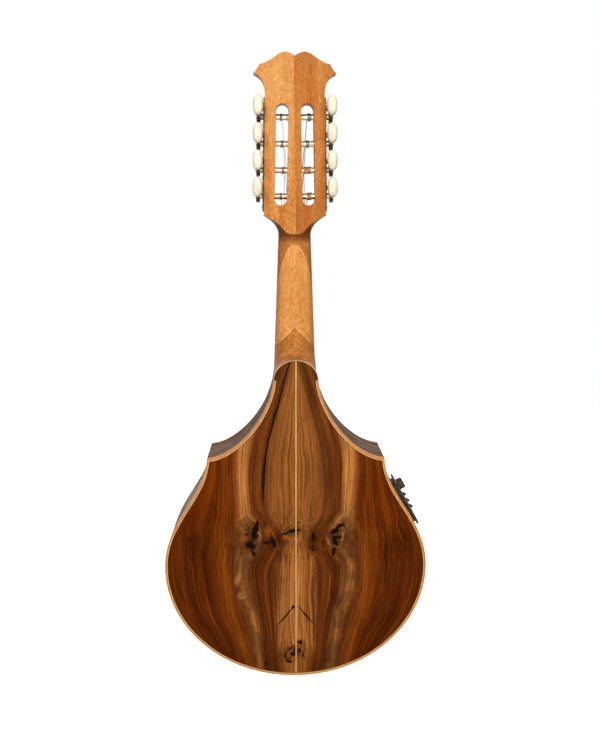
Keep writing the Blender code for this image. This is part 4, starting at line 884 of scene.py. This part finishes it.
def build_body():
    half = inset(BINDING_WIDTH + 2 * PURFLE_LINE)
    strip = 0.62
    end = half[-1][1]
    right = [(max(x, strip), z) for x, z in heel_arch(ARCH_EDGE)] + half[:-1] + [(strip, end)]
    for side, label in SIDES:
        loop = right if side > 0 else mirrored(right)
        piece = slab("back_plate_" + label, [loop], 0, PLATE)
        dress(piece, BACK, "back_" + label)
    top_z = SHOULDER[1] + HEEL_CAP_RISE - ARCH_EDGE
    bar = [(-strip, top_z), (strip, top_z), (strip, end), (-strip, end)]
    dress(slab("back_centre_strip", [bar], 0, PLATE), STRIP, "back_strip")
    for name, low, line_low in (("back", 0, 0),
                                ("top", BODY_DEPTH - BINDING_DEPTH,
                                 BODY_DEPTH - PURFLE_DEPTH)):
        piece = slab(name + "_edge_binding", [horseshoe(0, BINDING_WIDTH)], low,
                     low + BINDING_DEPTH)
        dress(piece, BIND, name + "_binding")
        for tone, near, mat, slot in (("light", BINDING_WIDTH, PURFLE_LIGHT, "binding_wood"),
                                      ("dark", BINDING_WIDTH + PURFLE_LINE, PURFLE_DARK,
                                       "dark_wood")):
            ring = horseshoe(near, near + PURFLE_LINE)
            piece = slab("%s_purfling_%s" % (name, tone), [ring], line_low,
                         line_low + PURFLE_DEPTH)
            dress(piece, mat)
    for tone, near, far, mat, slot in (("light", 0, ARCH_EDGE / 2, PURFLE_LIGHT,
                                        "binding_wood"),
                                       ("dark", ARCH_EDGE / 2, ARCH_EDGE, PURFLE_DARK,
                                        "dark_wood")):
        dress(slab("heel_line_" + tone, [heel_band(near, far)], 0, PLATE), mat)
    outer, inner = inset(0), inset(RIB)
    right = outer[:-1] + [(0.02, outer[-1][1]), (0.02, inner[-1][1])] + inner[:-1][::-1]
    opening = box("opening", (30, 28.2, 47.2), (0, 0, 0), PREAMP)
    for loop, label, tools in ((right, "right", [opening]), (mirrored(right), "left", [])):
        rib = slab("side_" + label, [loop], BINDING_DEPTH, BODY_DEPTH - BINDING_DEPTH)
        rib = cut(rib, tools + [rod("bore", JACK_BORE, 20, DOWN)])
        dress(rib, RIBS, "rib_" + label)
    piece = slab("soundboard", [full_loop(half), hole(HOLE_RADIUS)], BODY_DEPTH - PLATE,
                 BODY_DEPTH)
    dress(piece, TOP, "top_plate")
    piece = slab("soundhole_ring", [hole(HOLE_RADIUS + 0.02), hole(HOLE_RADIUS - 0.9)],
                 BODY_DEPTH - PLATE, BODY_DEPTH + 0.05, 0.2)
    dress(piece, EBONY)
    for node, mat in (("back_frame", INNER), ("top_frame", INNER), ("tail_block", INNER),
                      ("battery", BLACK), ("pickup", BRASS)):
        for slot in frame["nodes"][node].material_slots:
            slot.material = mat


# Neck and head


NECK_BACK = 50.3
NECK_BACK_HEEL = 46
VOLUTE_START = -9.5
VOLUTE_SLOPE = 0.62
HEEL_START = -102
HEEL_LOW = PLATE + GAP
HEEL_TOP = SHOULDER[1] + HEEL_CAP_RISE
FLARE_START = -9


def board_half(z):
    return NUT_HALF - z * NECK_TAPER


def neck_half_width(z):
    if z <= FLARE_START:
        return board_half(z)
    share = (z - FLARE_START) / (CORNER[1] - FLARE_START)
    return between(board_half(FLARE_START), CORNER[0], share ** 2.3)


def neck_back(z):
    if z > VOLUTE_START:
        rise = VOLUTE_SLOPE * (z - VOLUTE_START)
        if z > 0:
            rise += 15 * (z / CORNER[1]) ** 3
        return NECK_BACK - rise
    share = (z - VOLUTE_START) / (HEEL_START - VOLUTE_START)
    return between(NECK_BACK, NECK_BACK_HEEL, min(share, 1))


def neck_half(z, depth):
    """Half width of the neck at a height and a depth, its heel included."""
    share = (BODY_DEPTH - depth) / (BODY_DEPTH - neck_back(z))
    shaft = heel = 0
    if share < 1:
        shaft = neck_half_width(z) * (1 - max(share, 0) ** 2.5) ** 0.4
    if z < HEEL_START:
        rise = (min(depth, NECK_BACK_HEEL) - HEEL_LOW) / (NECK_BACK_HEEL - HEEL_LOW)
        apex = between(HEEL_TOP, HEEL_START, max(0, rise) ** 3.2)
        reach = (z - SHOULDER[1]) / (apex - SHOULDER[1])
        if reach < 1:
            heel = neck_half_width(SHOULDER[1]) * math.sqrt(1 - max(reach, 0) ** 2)
    return max(shaft, heel)


def neck_ring(z):
    low = HEEL_LOW
    if z > VOLUTE_START:
        low = max(low, BODY_DEPTH - HEAD_THICKNESS - z * math.tan(HEAD_TILT))
    if neck_half(z, low) <= 0:
        high = BODY_DEPTH - 1
        for _ in range(40):
            middle = (low + high) / 2
            if neck_half(z, middle) > 0:
                high = middle
            else:
                low = middle
        low = high
    front = BODY_DEPTH - max(z, 0) * math.tan(HEAD_TILT)
    depths = [between(low, front, (index / 25) ** 2) for index in range(26)]
    side = [(neck_half(z, depth), depth) for depth in depths]
    return ([place(-x, depth, z) for x, depth in side]
            + [place(x, depth, z) for x, depth in side[::-1]])


def head_half():
    """Right half of the head's outline: corner, cove, ear, crest, notch."""
    ear, shoulder, lobe, notch = (41.1, 150.2), (35.2, 158.6), (10, 170.2), (0, 166.6)
    return [CORNER, *arc(SIDE_TOP, (0.2, 11), (-7.5, -3), ear, 18),
            *arc(ear, (-2.4, 2.2), (1.2, -3), shoulder, 10),
            *arc(shoulder, (-11, 1.6), (7.5, -0.2), lobe, 20),
            *arc(lobe, (-4.5, 0.1), (1.6, 0.9), notch, 10), notch]


PIVOT = place(0, BODY_DEPTH, 0)
LEAN = (Matrix.Translation(PIVOT) @ Matrix.Rotation(HEAD_TILT, 4, "X")
        @ Matrix.Translation(-PIVOT))
TO_X = Matrix.Rotation(math.radians(90), 4, "Y")
TO_Y = Matrix.Rotation(math.radians(-90), 4, "X")
DOWN = at(0, 32.5, TAIL_Z)


def slot_loop(side):
    radius = 6.3
    low, high = Vector((side * 14.4, 28.6)), Vector((side * 12.5, 115.4))
    run = (high - low).normalized()
    across = Vector((run.y, -run.x))
    loop = []
    for center, turn in ((high, 0), (low, math.pi)):
        for cos, sin in ring_of(24, turn, math.pi):
            loop.append(tuple(center + (across * cos + run * sin) * radius))
    return loop


def ramp_cutters():
    """Blocks that slope the lower ends of the two slots."""
    size = (12.6 * 0.9, 8, 26)
    return [box("ramp", size, (0, size[1] / 2, size[2] / 2),
                at(side * 14.4, BODY_DEPTH + 3.4, 7)
                @ Matrix.Rotation(math.radians(22), 4, "X")) for side in (1, -1)]


def machine_frame(side):
    """Frame of a row of machines: X outward on the right side, Z up along the head's edge."""
    run = SIDE_TOP[1] - CORNER[1]
    slant = math.atan2(CORNER[0] - SIDE_TOP[0], run)
    x = between(CORNER[0], SIDE_TOP[0], (ROW_Z - CORNER[1]) / run)
    spot = place(side * x, BODY_DEPTH - HEAD_THICKNESS + ROLLER_DEPTH, ROW_Z)
    return LEAN @ Matrix.Translation(spot) @ Matrix.Rotation(-side * slant, 4, "Y")


KNOB_Z = 17.5
PANEL_TOP = GAP + 2.4


def preamp_frame():
    """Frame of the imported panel: X out of the wood, Z along the rib to the head."""
    knob = next(joint for joint in frame["joints"] if joint["name"] == "volume_turn")
    out = Vector(knob["axis"]).normalized()
    rise = out.cross(Vector((0, 1, 0))).normalized()
    origin = Vector(knob["pos_m"]) - out * (PANEL_TOP * MM) - rise * (KNOB_Z * MM)
    axes = Matrix((out, Vector((0, 1, 0)), rise)).transposed().to_4x4()
    return Matrix.Translation(origin) @ axes


PREAMP = preamp_frame()


def steps_down(start, end, step):
    """Heights from start downwards, as long as they are above the end."""
    heights = []
    while start > end:
        heights.append(start)
        start -= step
    return heights


def build_neck():
    stations = [*steps_down(CORNER[1] + 0.4, -14, 0.7), -16, -20, -30, -45, -60, -80, -95,
                -101.9, *steps_down(-103, -133, 0.8), -134.5, -138, -143, SHOULDER[1]]
    neck = loft("neck_and_head", [neck_ring(z) for z in stations])
    half = head_half()
    slots = [slot_loop(1), slot_loop(-1)]
    head = slab("head", [full_loop(half)] + slots, BODY_DEPTH - HEAD_THICKNESS, BODY_DEPTH,
                0.35, LEAN)
    tools = ramp_cutters()
    for side, _ in SIDES:
        for row in ROWS:
            center = shift(side * (2 - 28 / 2), 0, row * ROW_PITCH)
            tools.append(rod("bore", ROLLER_RADIUS + 0.25, 28 / 2 + 1,
                             machine_frame(side) @ center @ TO_X, 24))
    head = cut(head, tools, 30)
    size = (37.2, BODY_DEPTH - PLATE - 2 * GAP - HEEL_LOW, 21.6)
    foot = box("foot", size, (0, (HEEL_LOW + BODY_DEPTH - PLATE) / 2, -170 + size[2] / 2))
    dress(joined("neck_and_head", [neck, head, foot], 30), NECK, "neck")

    veneer = [(22, 4.6)] + half
    face = slab("head_face", [full_loop(veneer)] + slots, BODY_DEPTH + 0.02,
                BODY_DEPTH + GAP + 1.8, 0.25, LEAN)
    dress(cut(face, ramp_cutters(), 30), EBONY, "head_veneer")


def build_fingerboard():
    low = BODY_DEPTH + 0.02
    high = BODY_DEPTH + GAP + 5
    end = board_half(BOARD_END)
    loop = [(-NUT_HALF, 0), (NUT_HALF, 0), (end, BOARD_END), (-end, BOARD_END)]
    dress(slab("fret_board", [loop], low, high, 0.4), EBONY, "fingerboard")
    frets = [-SCALE * (1 - 2 ** (-number / 12)) for number in range(FRETS + 1)]
    crown = [(sin ** 0.8 if sin > 0 else 0, 0.6 * cos) for cos, sin in ring_of(8, 0, math.pi)]
    wires = []
    for z in frets[1:]:
        width = board_half(z) - 0.3
        wires.append(loft("fret", [
            [place(x, high + h * fall, z + w) for h, w in crown]
            + [place(x, high - 0.4, z + w) for w in (-0.6, 0.6)]
            for x, fall in ((-width, 0.55), (0.7 - width, 1), (width - 0.7, 1), (width, 0.55))]))
    dress(joined("fret_wires", wires, 40), FRET_METAL)
    dots = []
    for number, spread in ((3, 0), (5, 0), (7, 0), (10, 0), (12, 6.5), (15, 0)):
        z = (frets[number] + frets[number - 1]) / 2
        for x in sorted({-spread, spread}):
            dots.append(turned("dot", [(0, 0.05), (2.3, 0.05), (2.5, -0.3), (0, -0.3)],
                               at(x, high, z) @ TO_Y, 32))
    dress(joined("position_dots", dots), PEARL)
    top = STRING_AT_NUT - 0.5
    steps = ((0.2, 0), (0.3, -0.1), (1.6, 0), (2.8, -0.35), (3.7, -1.1), (4.2, -2))
    nut = loft("string_nut", [
        [place(x, top + dh - drop, dz) for dz, dh in steps]
        + [place(x, low, 4.3), place(x, low, 0.1)]
        for x, drop in ((0.05 - NUT_HALF, 0.5), (0.6 - NUT_HALF, 0), (NUT_HALF - 0.6, 0),
                        (NUT_HALF - 0.05, 0.5))])
    dress(nut, BONE, "nut")


# Bridge, tailpiece, jack


def build_bridge():
    low = BODY_DEPTH + 0.02
    span = 56
    edge = ((0, 1), (0.55, 1), (0.82, 0.86), (0.97, 0.6), (1, 0.3))
    rings = []
    for index in range(57):
        x = 2 * index - span
        reach = abs(x) / span
        height, half = 6.2, 6
        if reach >= 0.62:
            share = (reach - 0.62) / 0.38
            height -= 3.6 * share ** 0.8
            half -= 1.6 * math.sin(share * math.pi)
        if reach > 0.96:
            half *= 1 - (reach - 0.96) * 6
            height *= 1 - (reach - 0.96) * 5
        rings.append([place(x, low + height * dh, half * side * dz - SCALE)
                      for side, line in ((-1, edge), (1, edge[::-1])) for dh, dz in line])
    dress(loft("bridge_foot", rings), ROSEWOOD, "bridge_base")
    top = STRING_AT_BRIDGE - 0.46
    edge = ((-5.2, 1.3), (-0.9, 1.3), (-0.25, 0.8))
    line = [(dh, -dz) for dh, dz in edge] + [(0, 0), *edge[::-1]]
    rings = []
    for index in range(33):
        fall = 0.8 if index in (0, 32) else 0
        rings.append([place(-31.9 + 63.8 * index / 32, top + dh - fall * (dh > -2), dz - SCALE)
                      for dh, dz in line])
    dress(loft("string_saddle", rings), BONE, "bridge_saddle")


HOOK = ((0, 1.3), (1.1, 1.2), (1.3, 0.9), (0.8, 0.5), (0.8, -1), (0, -1))
JACK = ((3.3, 20), (3.3, -4.6), (3.7, -5), (5.4, -5), (5.6, -4.7), (5.8, -4), (8.6, -3.7),
        (9.3, -3.1), (9.5, -2.2), (9.5, -0.3), (6, -0.3), (6, 33), (3.3, 33), (3.3, 20))


def build_tail():
    high = BODY_DEPTH + 1.5
    half = 22
    corner = arc((half, -455), (0, 9), (3, -6), (half - 6, -436), 10)
    outline = [(-half, TAIL_Z - 0.4), (half, TAIL_Z - 0.4), (half, -455), *corner,
               (half - 6, -434.6), (6 - half, -434.6), *mirrored(corner)[::-1]]
    parts = [
        slab("tail_plate", [outline], BODY_DEPTH + 0.1, high, 0.25),
        box("tail_bar", (44, 7, 2.3), (0, BODY_DEPTH + 3.9, -433.5), bevel=0.5),
        box("tail_skirt", (44, 21, 1.1), (0, BODY_DEPTH - 9.2, TAIL_Z - 0.9), bevel=0.4)]
    for side, _ in SIDES:
        for course in COURSES_AT_BRIDGE:
            for pair in (PAIR_AT_BRIDGE, -PAIR_AT_BRIDGE):
                spot = at(side * (course + pair), high + 0.9, -441)
                parts.append(turned("hook", HOOK, spot @ TO_Y, 20))
    dress(joined("tail_hardware", parts, 40), NICKEL, "tailpiece")
    dress(turned("jack_socket", JACK, DOWN, 64), NICKEL, "output_jack")


# Preamp


SLIDERS_Z = (5.4, -2.3, -10)
KNOB_RINGS = ((2.4, -3.4, 0), (2.4, 0.3, 0), (5.9, 0.35, 0), (6.2, 0.7, 1), (6.2, 4.9, 1),
              (5.9, 5.7, 0.6), (5.2, 6.25, 0), (4.6, 6.45, 0), (3.2, 6.3, 0))
SLIDER_CAP = ((0.3, 2.2), (0.3, -2.25), (2.85, -2.2), (2.75, -1.5), (2.1, 0.2), (1.3, 1.5),
              (0.9, 2))
PANEL_SCREW = ((0, 0.3), (0.5, 0.3), (1.4, 0.18), (1.6, 0), (1.6, -0.5), (0, -0.5))


def rounded_loop(low, high, radius, steps):
    """Rectangle between two corners, with round corners, from its upper right one."""
    loop = []
    for right, up, start in ((1, 1, 0), (0, 1, 0.5), (0, 0, 1), (1, 0, 1.5)):
        x = high[0] - radius if right else low[0] + radius
        y = high[1] - radius if up else low[1] + radius
        loop += [(x + radius * math.cos(angle), y + radius * math.sin(angle)) for angle in (
            math.pi * (start + 0.5 * index / steps) for index in range(steps + 1))]
    return loop


def build_preamp():
    rings = []
    for x, less in ((0.05, 0.6), (0.35, 0.05), (0.9, 0), (1.9, 0), (2.45, 0.35), (2.68, 1)):
        high = (16.5 - less, 26.5 - less)
        loop = rounded_loop((-high[0], -high[1]), high, 2.4, 6)
        rings.append([point(PREAMP, x, y, z) for y, z in loop])
    panel = cut(loft("preamp_panel", rings), [
        box("slot", (6, 14, 1.7), (PANEL_TOP, 0, z), PREAMP) for z in SLIDERS_Z], 40)
    case = box("case", (20, 27, 46), (-9, 0, 0), PREAMP, 0.6)
    dress(joined("preamp_panel", [panel, case], 40), BLACK, "preamp_unit")
    screws = [turned("screw", PANEL_SCREW, PREAMP @ shift(PANEL_TOP - 0.35, y, z) @ TO_X, 24)
              for y in (-13.6, 13.6) for z in (-23.4, 23.4)]
    dress(joined("preamp_screws", screws), NICKEL)
    build_preamp_marks()
    spot = PREAMP @ shift(PANEL_TOP, 0, KNOB_Z) @ TO_X
    rings = []
    for radius, height, depth in KNOB_RINGS:
        grooved = [(radius - depth * 0.22 * (0.5 + 0.5 * math.cos(math.pi / 1.5 * i)), ray)
                   for i, ray in enumerate(ring_of(72))]
        rings.append([point(spot, r * cos, r * sin, height) for r, (cos, sin) in grooved])
    dress(loft("volume_knob_cap", rings, 40), BLACK, "preamp_knob",
          "volume_knob")
    line = box("knob_line", (0.35, 0.6, 3.2), (PANEL_TOP + 6.2, 0, 20.3), PREAMP, 0.1)
    dress(line, WHITE, None, "volume_knob")
    for number, slider_z in enumerate(SLIDERS_Z, start=1):
        name = "slider_cap_%d" % number
        cap = loft(name, [
            [point(PREAMP, PANEL_TOP + x - less * (x > 1), y,
                   slider_z + z - (less if z > 0 else -less)) for x, z in SLIDER_CAP]
            for y, less in ((-2.2, 0.25), (-1.95, 0), (1.95, 0), (2.2, 0.25))], 30)
        stem = box("stem", (5, 2.4, 1.1), (PANEL_TOP - 1.7, 0, slider_z), PREAMP)
        dress(joined(name, [cap, stem]), BLACK, "preamp_slider_%d" % number,
              "tone_slider_%d" % number)


def build_preamp_marks():
    """Scale marks beside the sliders and round the knob."""
    ticks = []
    height = PANEL_TOP - 0.01
    for slider_z in SLIDERS_Z:
        for step in range(-2, 3):
            for y in (-10.6, 10.6):
                ticks.append(box("tick", (0.08, 1 if step else 1.6, 0.25),
                                 (height, y, slider_z + step * 1.3), PREAMP))
    for index in range(9):
        angle = math.radians(-120 + 30 * index)
        spot = PREAMP @ shift(height, 8.4 * math.sin(angle), KNOB_Z + 8.4 * math.cos(angle))
        turn = Matrix.Rotation(-angle, 4, "X")
        ticks.append(box("tick", (0.08, 0.28, 1.3), (0, 0, 0), spot @ turn))
    dress(joined("panel_marks", ticks), WHITE)


# Tuning machines


WORM_LENGTH = 6.9
WORM_RADIUS = MESH_DISTANCE - GEAR_RADIUS
WORM_PITCH = 2 * math.pi * GEAR_RADIUS / GEAR_TEETH
SHAFT = 1.5
BUTTON_FACE = 33
BUTTON = (10.1, 13, 19.6)
BUTTON_END = BUTTON[1] - BUTTON_FACE
TOOTH_ROOT = GEAR_RADIUS - 0.93
TOOTH_TIP = GEAR_RADIUS + 0.6
TOOTH = ((0.4, TOOTH_ROOT), (0.31, TOOTH_ROOT), (0.2, (TOOTH_ROOT + TOOTH_TIP) / 2 + 0.1),
         (0.13, TOOTH_TIP - 0.12), (0.06, TOOTH_TIP))
ROLLER_TOP = MACHINE_OFFSET + 2.9
ROLLER_END = GAP - ROLLER_INNER
ROLLER = ((0, ROLLER_TOP), (1.6, ROLLER_TOP), (2.1, ROLLER_TOP - 0.3), (2.2, MACHINE_OFFSET),
          (ROLLER_RADIUS - 0.02, MACHINE_OFFSET - 1), (ROLLER_RADIUS - 0.02, -6),
          (ROLLER_RADIUS - 0.05, -6.2), (ROLLER_RADIUS - 0.05, ROLLER_END + 0.4),
          (ROLLER_RADIUS - 0.4, ROLLER_END), (0, ROLLER_END))
COLLAR = ((0, 3.4), (1.9, 3.4), (2.5, 2.4), (2.9, 0.6), (2.7, -0.6), (0, -0.6))
PLATE_LOW = 16 - ROW_Z
PLATE_HIGH = 128 - ROW_Z
PLATE_HALF = 6.45
EAR_RADIUS = 2.25
PLATE_SCREW = ((0, 0.9), (0.9, 0.82), (1.6, 0.5), (1.95, 0), (1.95, -0.2), (0, -0.2))


def outward(side):
    """Turns local Z to the side that the buttons are on."""
    return (Matrix.Identity(4) if side > 0 else Matrix.Rotation(math.pi, 4, "Z")) @ TO_X


def slotted(piece, size, x, spot):
    """A screw head with a driver slot."""
    return cut(piece, [box("slot", size, (x, 0, 0), spot)])


def worm(name, spot, side):
    """Single-start worm on its shaft, about local Y."""
    around = 28
    half = WORM_LENGTH / 2

    def ring(v, thread):
        points = []
        for index in range(around):
            share = index / around - 0.5
            radius = SHAFT
            if thread:
                level = max(-1, min(1, (0.215 - abs(share)) / 0.09))
                radius = WORM_RADIUS + (0.62 if level > 0 else 0.9) * level
            angle = -math.pi / 2 + 2 * math.pi * (v / WORM_PITCH - share)
            points.append(point(spot, side * radius * math.cos(angle), v,
                                radius * math.sin(angle)))
        return points

    return loft(name, [
        ring(BUTTON_END + 0.1, False), ring(-half - 0.02, False),
        *(ring(WORM_LENGTH * index / 60 - half, True) for index in range(61)),
        ring(half + 0.02, False), ring(half + GAP + 3.9, False)], 50)


def gear(name, spot, side):
    half = 2
    lead = math.atan2(WORM_PITCH, 2 * math.pi * WORM_RADIUS)
    twist = math.tan(lead) * half / GEAR_RADIUS
    step = 2 * math.pi / GEAR_TEETH
    profile = [(-share, radius) for share, radius in TOOTH] + list(TOOTH[::-1])
    sections = []
    for offset in (-1, -0.86, -0.4, 0, 0.4, 0.86, 1):
        fall = 0.25 if abs(offset) == 1 else 0
        ring = []
        for tooth in range(GEAR_TEETH):
            for share, radius in profile:
                angle = math.pi / 2 + step * (tooth + 0.5 + share) - twist * offset
                ring.append(point(spot, side * (MACHINE_OFFSET + offset * half),
                                  (radius - fall) * math.cos(angle),
                                  (radius - fall) * math.sin(angle)))
        sections.append(ring)
    return loft(name, sections, 40)


def power(value, exponent):
    return math.copysign(abs(value) ** exponent, value)


def button(name, spot):
    """Oval button: a rounded solid, flatter on its faces."""
    thick, length, tall = BUTTON
    rings = []
    for size, rise in ring_of(22, -math.pi / 2, math.pi):
        size = max(0.02, size) ** 0.58
        y = power(rise, 0.62) * length / 2 - (BUTTON_FACE - length / 2)
        rings.append([point(spot, power(cos, 0.78) * size * thick / 2, y,
                            power(sin, 0.92) * size * tall / 2) for cos, sin in ring_of(48)])
    return loft(name, rings, 60)


def bearing(spot, side, y, z):
    """One block that holds the worm's shaft."""
    rings = []
    for dy, less in ((-1.3, 0.2), (-1.1, 0), (1.1, 0), (1.3, 0.2)):
        radius = EAR_RADIUS - less
        outline = [(MACHINE_OFFSET + radius * cos, MESH_DISTANCE + radius * sin)
                   for cos, sin in ring_of(16, -math.pi / 2, math.pi)]
        outline += [(0.9, MESH_DISTANCE + radius), (0.9, MESH_DISTANCE - radius)]
        rings.append([point(spot, side * x, y + dy, z + height) for x, height in outline])
    return loft("bearing", rings, 40)


def tuner_plate(name, spot, side):
    middle = (PLATE_LOW + PLATE_HIGH) / 2
    outline = rounded_loop((-PLATE_HALF, PLATE_LOW), (PLATE_HALF, PLATE_HIGH), 3, 8)
    parts = [loft("plate", [
        [point(spot, side * x, y * (1 - less * 0.04),
               middle + (z - middle) * (1 - less * 0.0045)) for y, z in outline]
        for x, less in ((0.05, 0.25), (0.3, 0), (1.15, 0), (1.45, 0.25))], 40)]
    tools = []
    for z in (row * ROW_PITCH for row in ROWS):
        for end in (1, -1):
            parts.append(bearing(spot, side, end * (WORM_LENGTH / 2 + GAP + 1.35), z))
        shaft = spot @ shift(side * MACHINE_OFFSET, 0, z + MESH_DISTANCE)
        tools += [rod("bore", 1.62, 15, shaft @ TO_Y, 24),
                  rod("hole", 3.4, 3, spot @ shift(0, 0, z) @ TO_X, 32)]
    plate = cut(joined(name, parts, 40), tools, 40)
    screws = []
    for z in (PLATE_LOW + 4.6, *(ROW_PITCH * (row + 0.5) + 5 for row in range(3)),
              PLATE_HIGH - 4.2):
        place_z = spot @ shift(side * 1.5, 0, z)
        head = turned("screw", PLATE_SCREW, place_z @ outward(side), 28)
        screws.append(slotted(head, (0.5, 0.45, 3.4), side * 0.85, place_z))
    return plate, joined(name + "_screws", screws)


def build_machines():
    collar = [(radius, BUTTON_END + height) for radius, height in COLLAR]
    for side, label in SIDES:
        frame_of_row = machine_frame(side)
        plate, screws = tuner_plate("machine_plate_" + label, frame_of_row, side)
        dress(plate, PLATE_METAL, "tuner_plate_" + label)
        dress(screws, NICKEL)
        for row in ROWS:
            tag = "%s_%d" % (label, row + 1)
            axle = frame_of_row @ shift(0, 0, row * ROW_PITCH)
            shaft = axle @ shift(side * MACHINE_OFFSET, 0, MESH_DISTANCE)
            tuner, drum = "tuner_" + tag, "drum_" + tag
            dress(worm("tuner_worm_" + tag, shaft, side), BRASS, "worm_" + tag,
                  tuner)
            dress(turned("shaft_collar_" + tag, collar, shaft @ TO_Y, 32), BRASS,
                  None, tuner)
            dress(button("tuner_button_" + tag, shaft), IVORY,
                  "button_" + tag, tuner)
            dress(gear("gear_" + tag, axle, side), GEAR_METAL, None, drum)
            roller = turned("roller_" + tag, ROLLER, axle @ outward(side))
            roller = slotted(roller, (0.5, 3.4, 0.5), side * ROLLER_TOP, axle)
            dress(roller, ROLLER_METAL, "roller_" + tag, drum)


# Strings


RADII = {1: (0.42, 0.36, 0.36, 0.42), -1: (0.19, 0.25, 0.25, 0.19)}
WINDING_START = {1: (18.9, 21.5, 19.2, 17.4), -1: (18.3, 20.6, 19.2, 17.4)}
WINDING_TURNS = {1: (5.1, 9.1, 3.6, 3.6), -1: (4.6, 4.6, 4.6, 4.6)}
WINDING_GAP = 0.06


def string(side, row):
    """One string from the tailpiece over bridge and nut to its winding."""
    radius = RADII[side][row]
    course = 1 - row // 2
    pair = 1 if row % 2 == 0 else -1
    nut_x = side * ((4.1, 12.3)[course] + pair * 1.3)
    bridge_x = side * (COURSES_AT_BRIDGE[course] + pair * PAIR_AT_BRIDGE)
    points = [
        place(bridge_x, STRING_AT_TAIL - 1.2, STRING_END_Z - 7),
        place(bridge_x, STRING_AT_TAIL, STRING_END_Z),
        place(bridge_x, STRING_AT_BRIDGE, -SCALE),
        place(nut_x, STRING_AT_NUT, 2.3),
    ]
    spot = machine_frame(side) @ shift(0, 0, row * ROW_PITCH)
    local = spot.inverted() @ points[-1]
    wind = ROLLER_RADIUS + WINDING_GAP + radius
    start = math.atan2(local.z, local.y) + math.acos(wind * MM / math.hypot(local.y, local.z))
    for index in range(int(WINDING_TURNS[side][row] * 28) + 1):
        turn = index / 28
        angle = start + 2 * math.pi * turn
        across = (2 * radius + WINDING_GAP) * turn - WINDING_START[side][row]
        points.append(point(spot, side * across, wind * math.cos(angle),
                            wind * math.sin(angle)))
    out = (points[-1] - points[-3]).normalized()
    return points + [points[-1] + out * (2.2 * MM)]


def build_strings():
    for side, label in SIDES:
        for row in ROWS:
            tag = "%s_%d" % (label, row + 1)
            copper = side > 0 and row < 2
            wire = tube("string_wire_" + tag, string(side, row), RADII[side][row])
            dress(wire, COPPER if copper else STEEL,
                  "string_" + tag)


# Stage, in metres


WORLD_BELOW = 0.08
WORLD_ABOVE = 0.30
LAMPS = (
    ("key", (-0.45, -2.2, 0.85), -0.15, (0.8, 0.9), 42, (1, 0.99, 0.97)),
    ("fill", (0.6, -2.3, 0.25), -0.2, (0.8, 1), 17, (1, 0.99, 0.98)),
)
TOP_LAMP = ("top", (0, 0.1, 2), -0.2, (1.6, 1.2), 4, (1, 1, 1))
FRONT_LAMPS = [("front_" + name, (-x, -y, z), *rest) for name, (x, y, z), *rest in LAMPS]


def build_floor():
    mesh = bpy.data.meshes.new("floor")
    shape = bmesh.new()
    bmesh.ops.create_circle(shape, cap_ends=True, segments=96, radius=2)
    shape.to_mesh(mesh)
    shape.free()
    floor = new_object("floor", mesh, Matrix.Translation((0, 0, -0.6)))
    web = Web("floor", roughness=0.9, specular=0)
    seen = web.background_rays()
    tone = web.noise(web.x * 0.01, web.y * 0.01, 0)
    web.paint(seen, tone.ramp(((0.2, 252, 252, 252), (0.8, 255, 255, 255))), (70, 66, 62))
    web.feed(web.shader["Base Color"], web.color)
    web.shader["Emission Color"].default_value = (1, 1, 1, 1)
    web.feed(web.shader["Emission Strength"], seen * 0.82)
    floor.data.materials.append(web.mat)


def build_world():
    """Dim warm light that grows with the height of its direction; white to the camera."""
    world = bpy.data.worlds.new("studio")
    bpy.context.scene.world = world
    world.use_nodes = True
    web = Nodes(world.node_tree)
    web.tree.nodes.clear()
    height = web.add("SeparateXYZ", "Z", {0: web.add("TexCoord", "Generated")})
    rise = web.add("MapRange", 0, {"Value": height, "From Min": -0.5, "From Max": 0.6,
                                   "To Min": WORLD_BELOW, "To Max": WORLD_ABOVE})
    room = web.add("Background", 0, {"Color": (1, 0.99, 0.975, 1), "Strength": rise})
    white = web.add("Background", 0, {"Color": (1, 1, 1, 1), "Strength": 1})
    mix = web.add("MixShader", 0, {0: web.background_rays(), 1: room, 2: white})
    web.feed(web.tree.nodes.new("ShaderNodeOutputWorld").inputs["Surface"], mix)


def build_lamps():
    for name, spot, aim_z, size, power, tint in (*LAMPS, TOP_LAMP, *FRONT_LAMPS):
        lamp = bpy.data.lights.new(name, "AREA")
        lamp.shape = "RECTANGLE"
        lamp.size, lamp.size_y = size
        lamp.energy = power
        lamp.color = tint
        direction = Vector((0, 0, aim_z)) - Vector(spot)
        turn = direction.to_track_quat("-Z", "Y").to_matrix().to_4x4()
        obj = new_object(name, lamp, Matrix.Translation(spot) @ turn)
        obj.visible_glossy = name in ("key", "fill")


def build_camera():
    """The photo's camera: looking 10.4 degrees down, focal length 780 of 746 pixels."""
    pitch, yaw, roll = (math.radians(angle) for angle in (10.4, 1.6, 0.033))
    level = math.cos(pitch)
    forward = Vector((math.sin(yaw) * level, math.cos(yaw) * level, -math.sin(pitch)))
    right = Vector((math.cos(yaw), -math.sin(yaw), 0))
    axes = Matrix((right, right.cross(forward), -forward)).transposed().to_4x4()
    data = bpy.data.cameras.new("camera")
    data.sensor_width = 36
    data.lens = 780 / 746 * data.sensor_width
    spot = Matrix.Translation((-0.01737, -0.825, -0.0028))
    bpy.context.scene.camera = new_object(
        "camera", data, spot @ axes @ Matrix.Rotation(roll, 4, "Z"))


def main():
    bpy.context.scene.view_settings.view_transform = "Standard"
    for build in (build_camera, build_floor, build_world, build_lamps, build_body, build_neck,
                  build_fingerboard, build_bridge, build_tail, build_preamp, build_machines,
                  build_strings):
        build()


main()
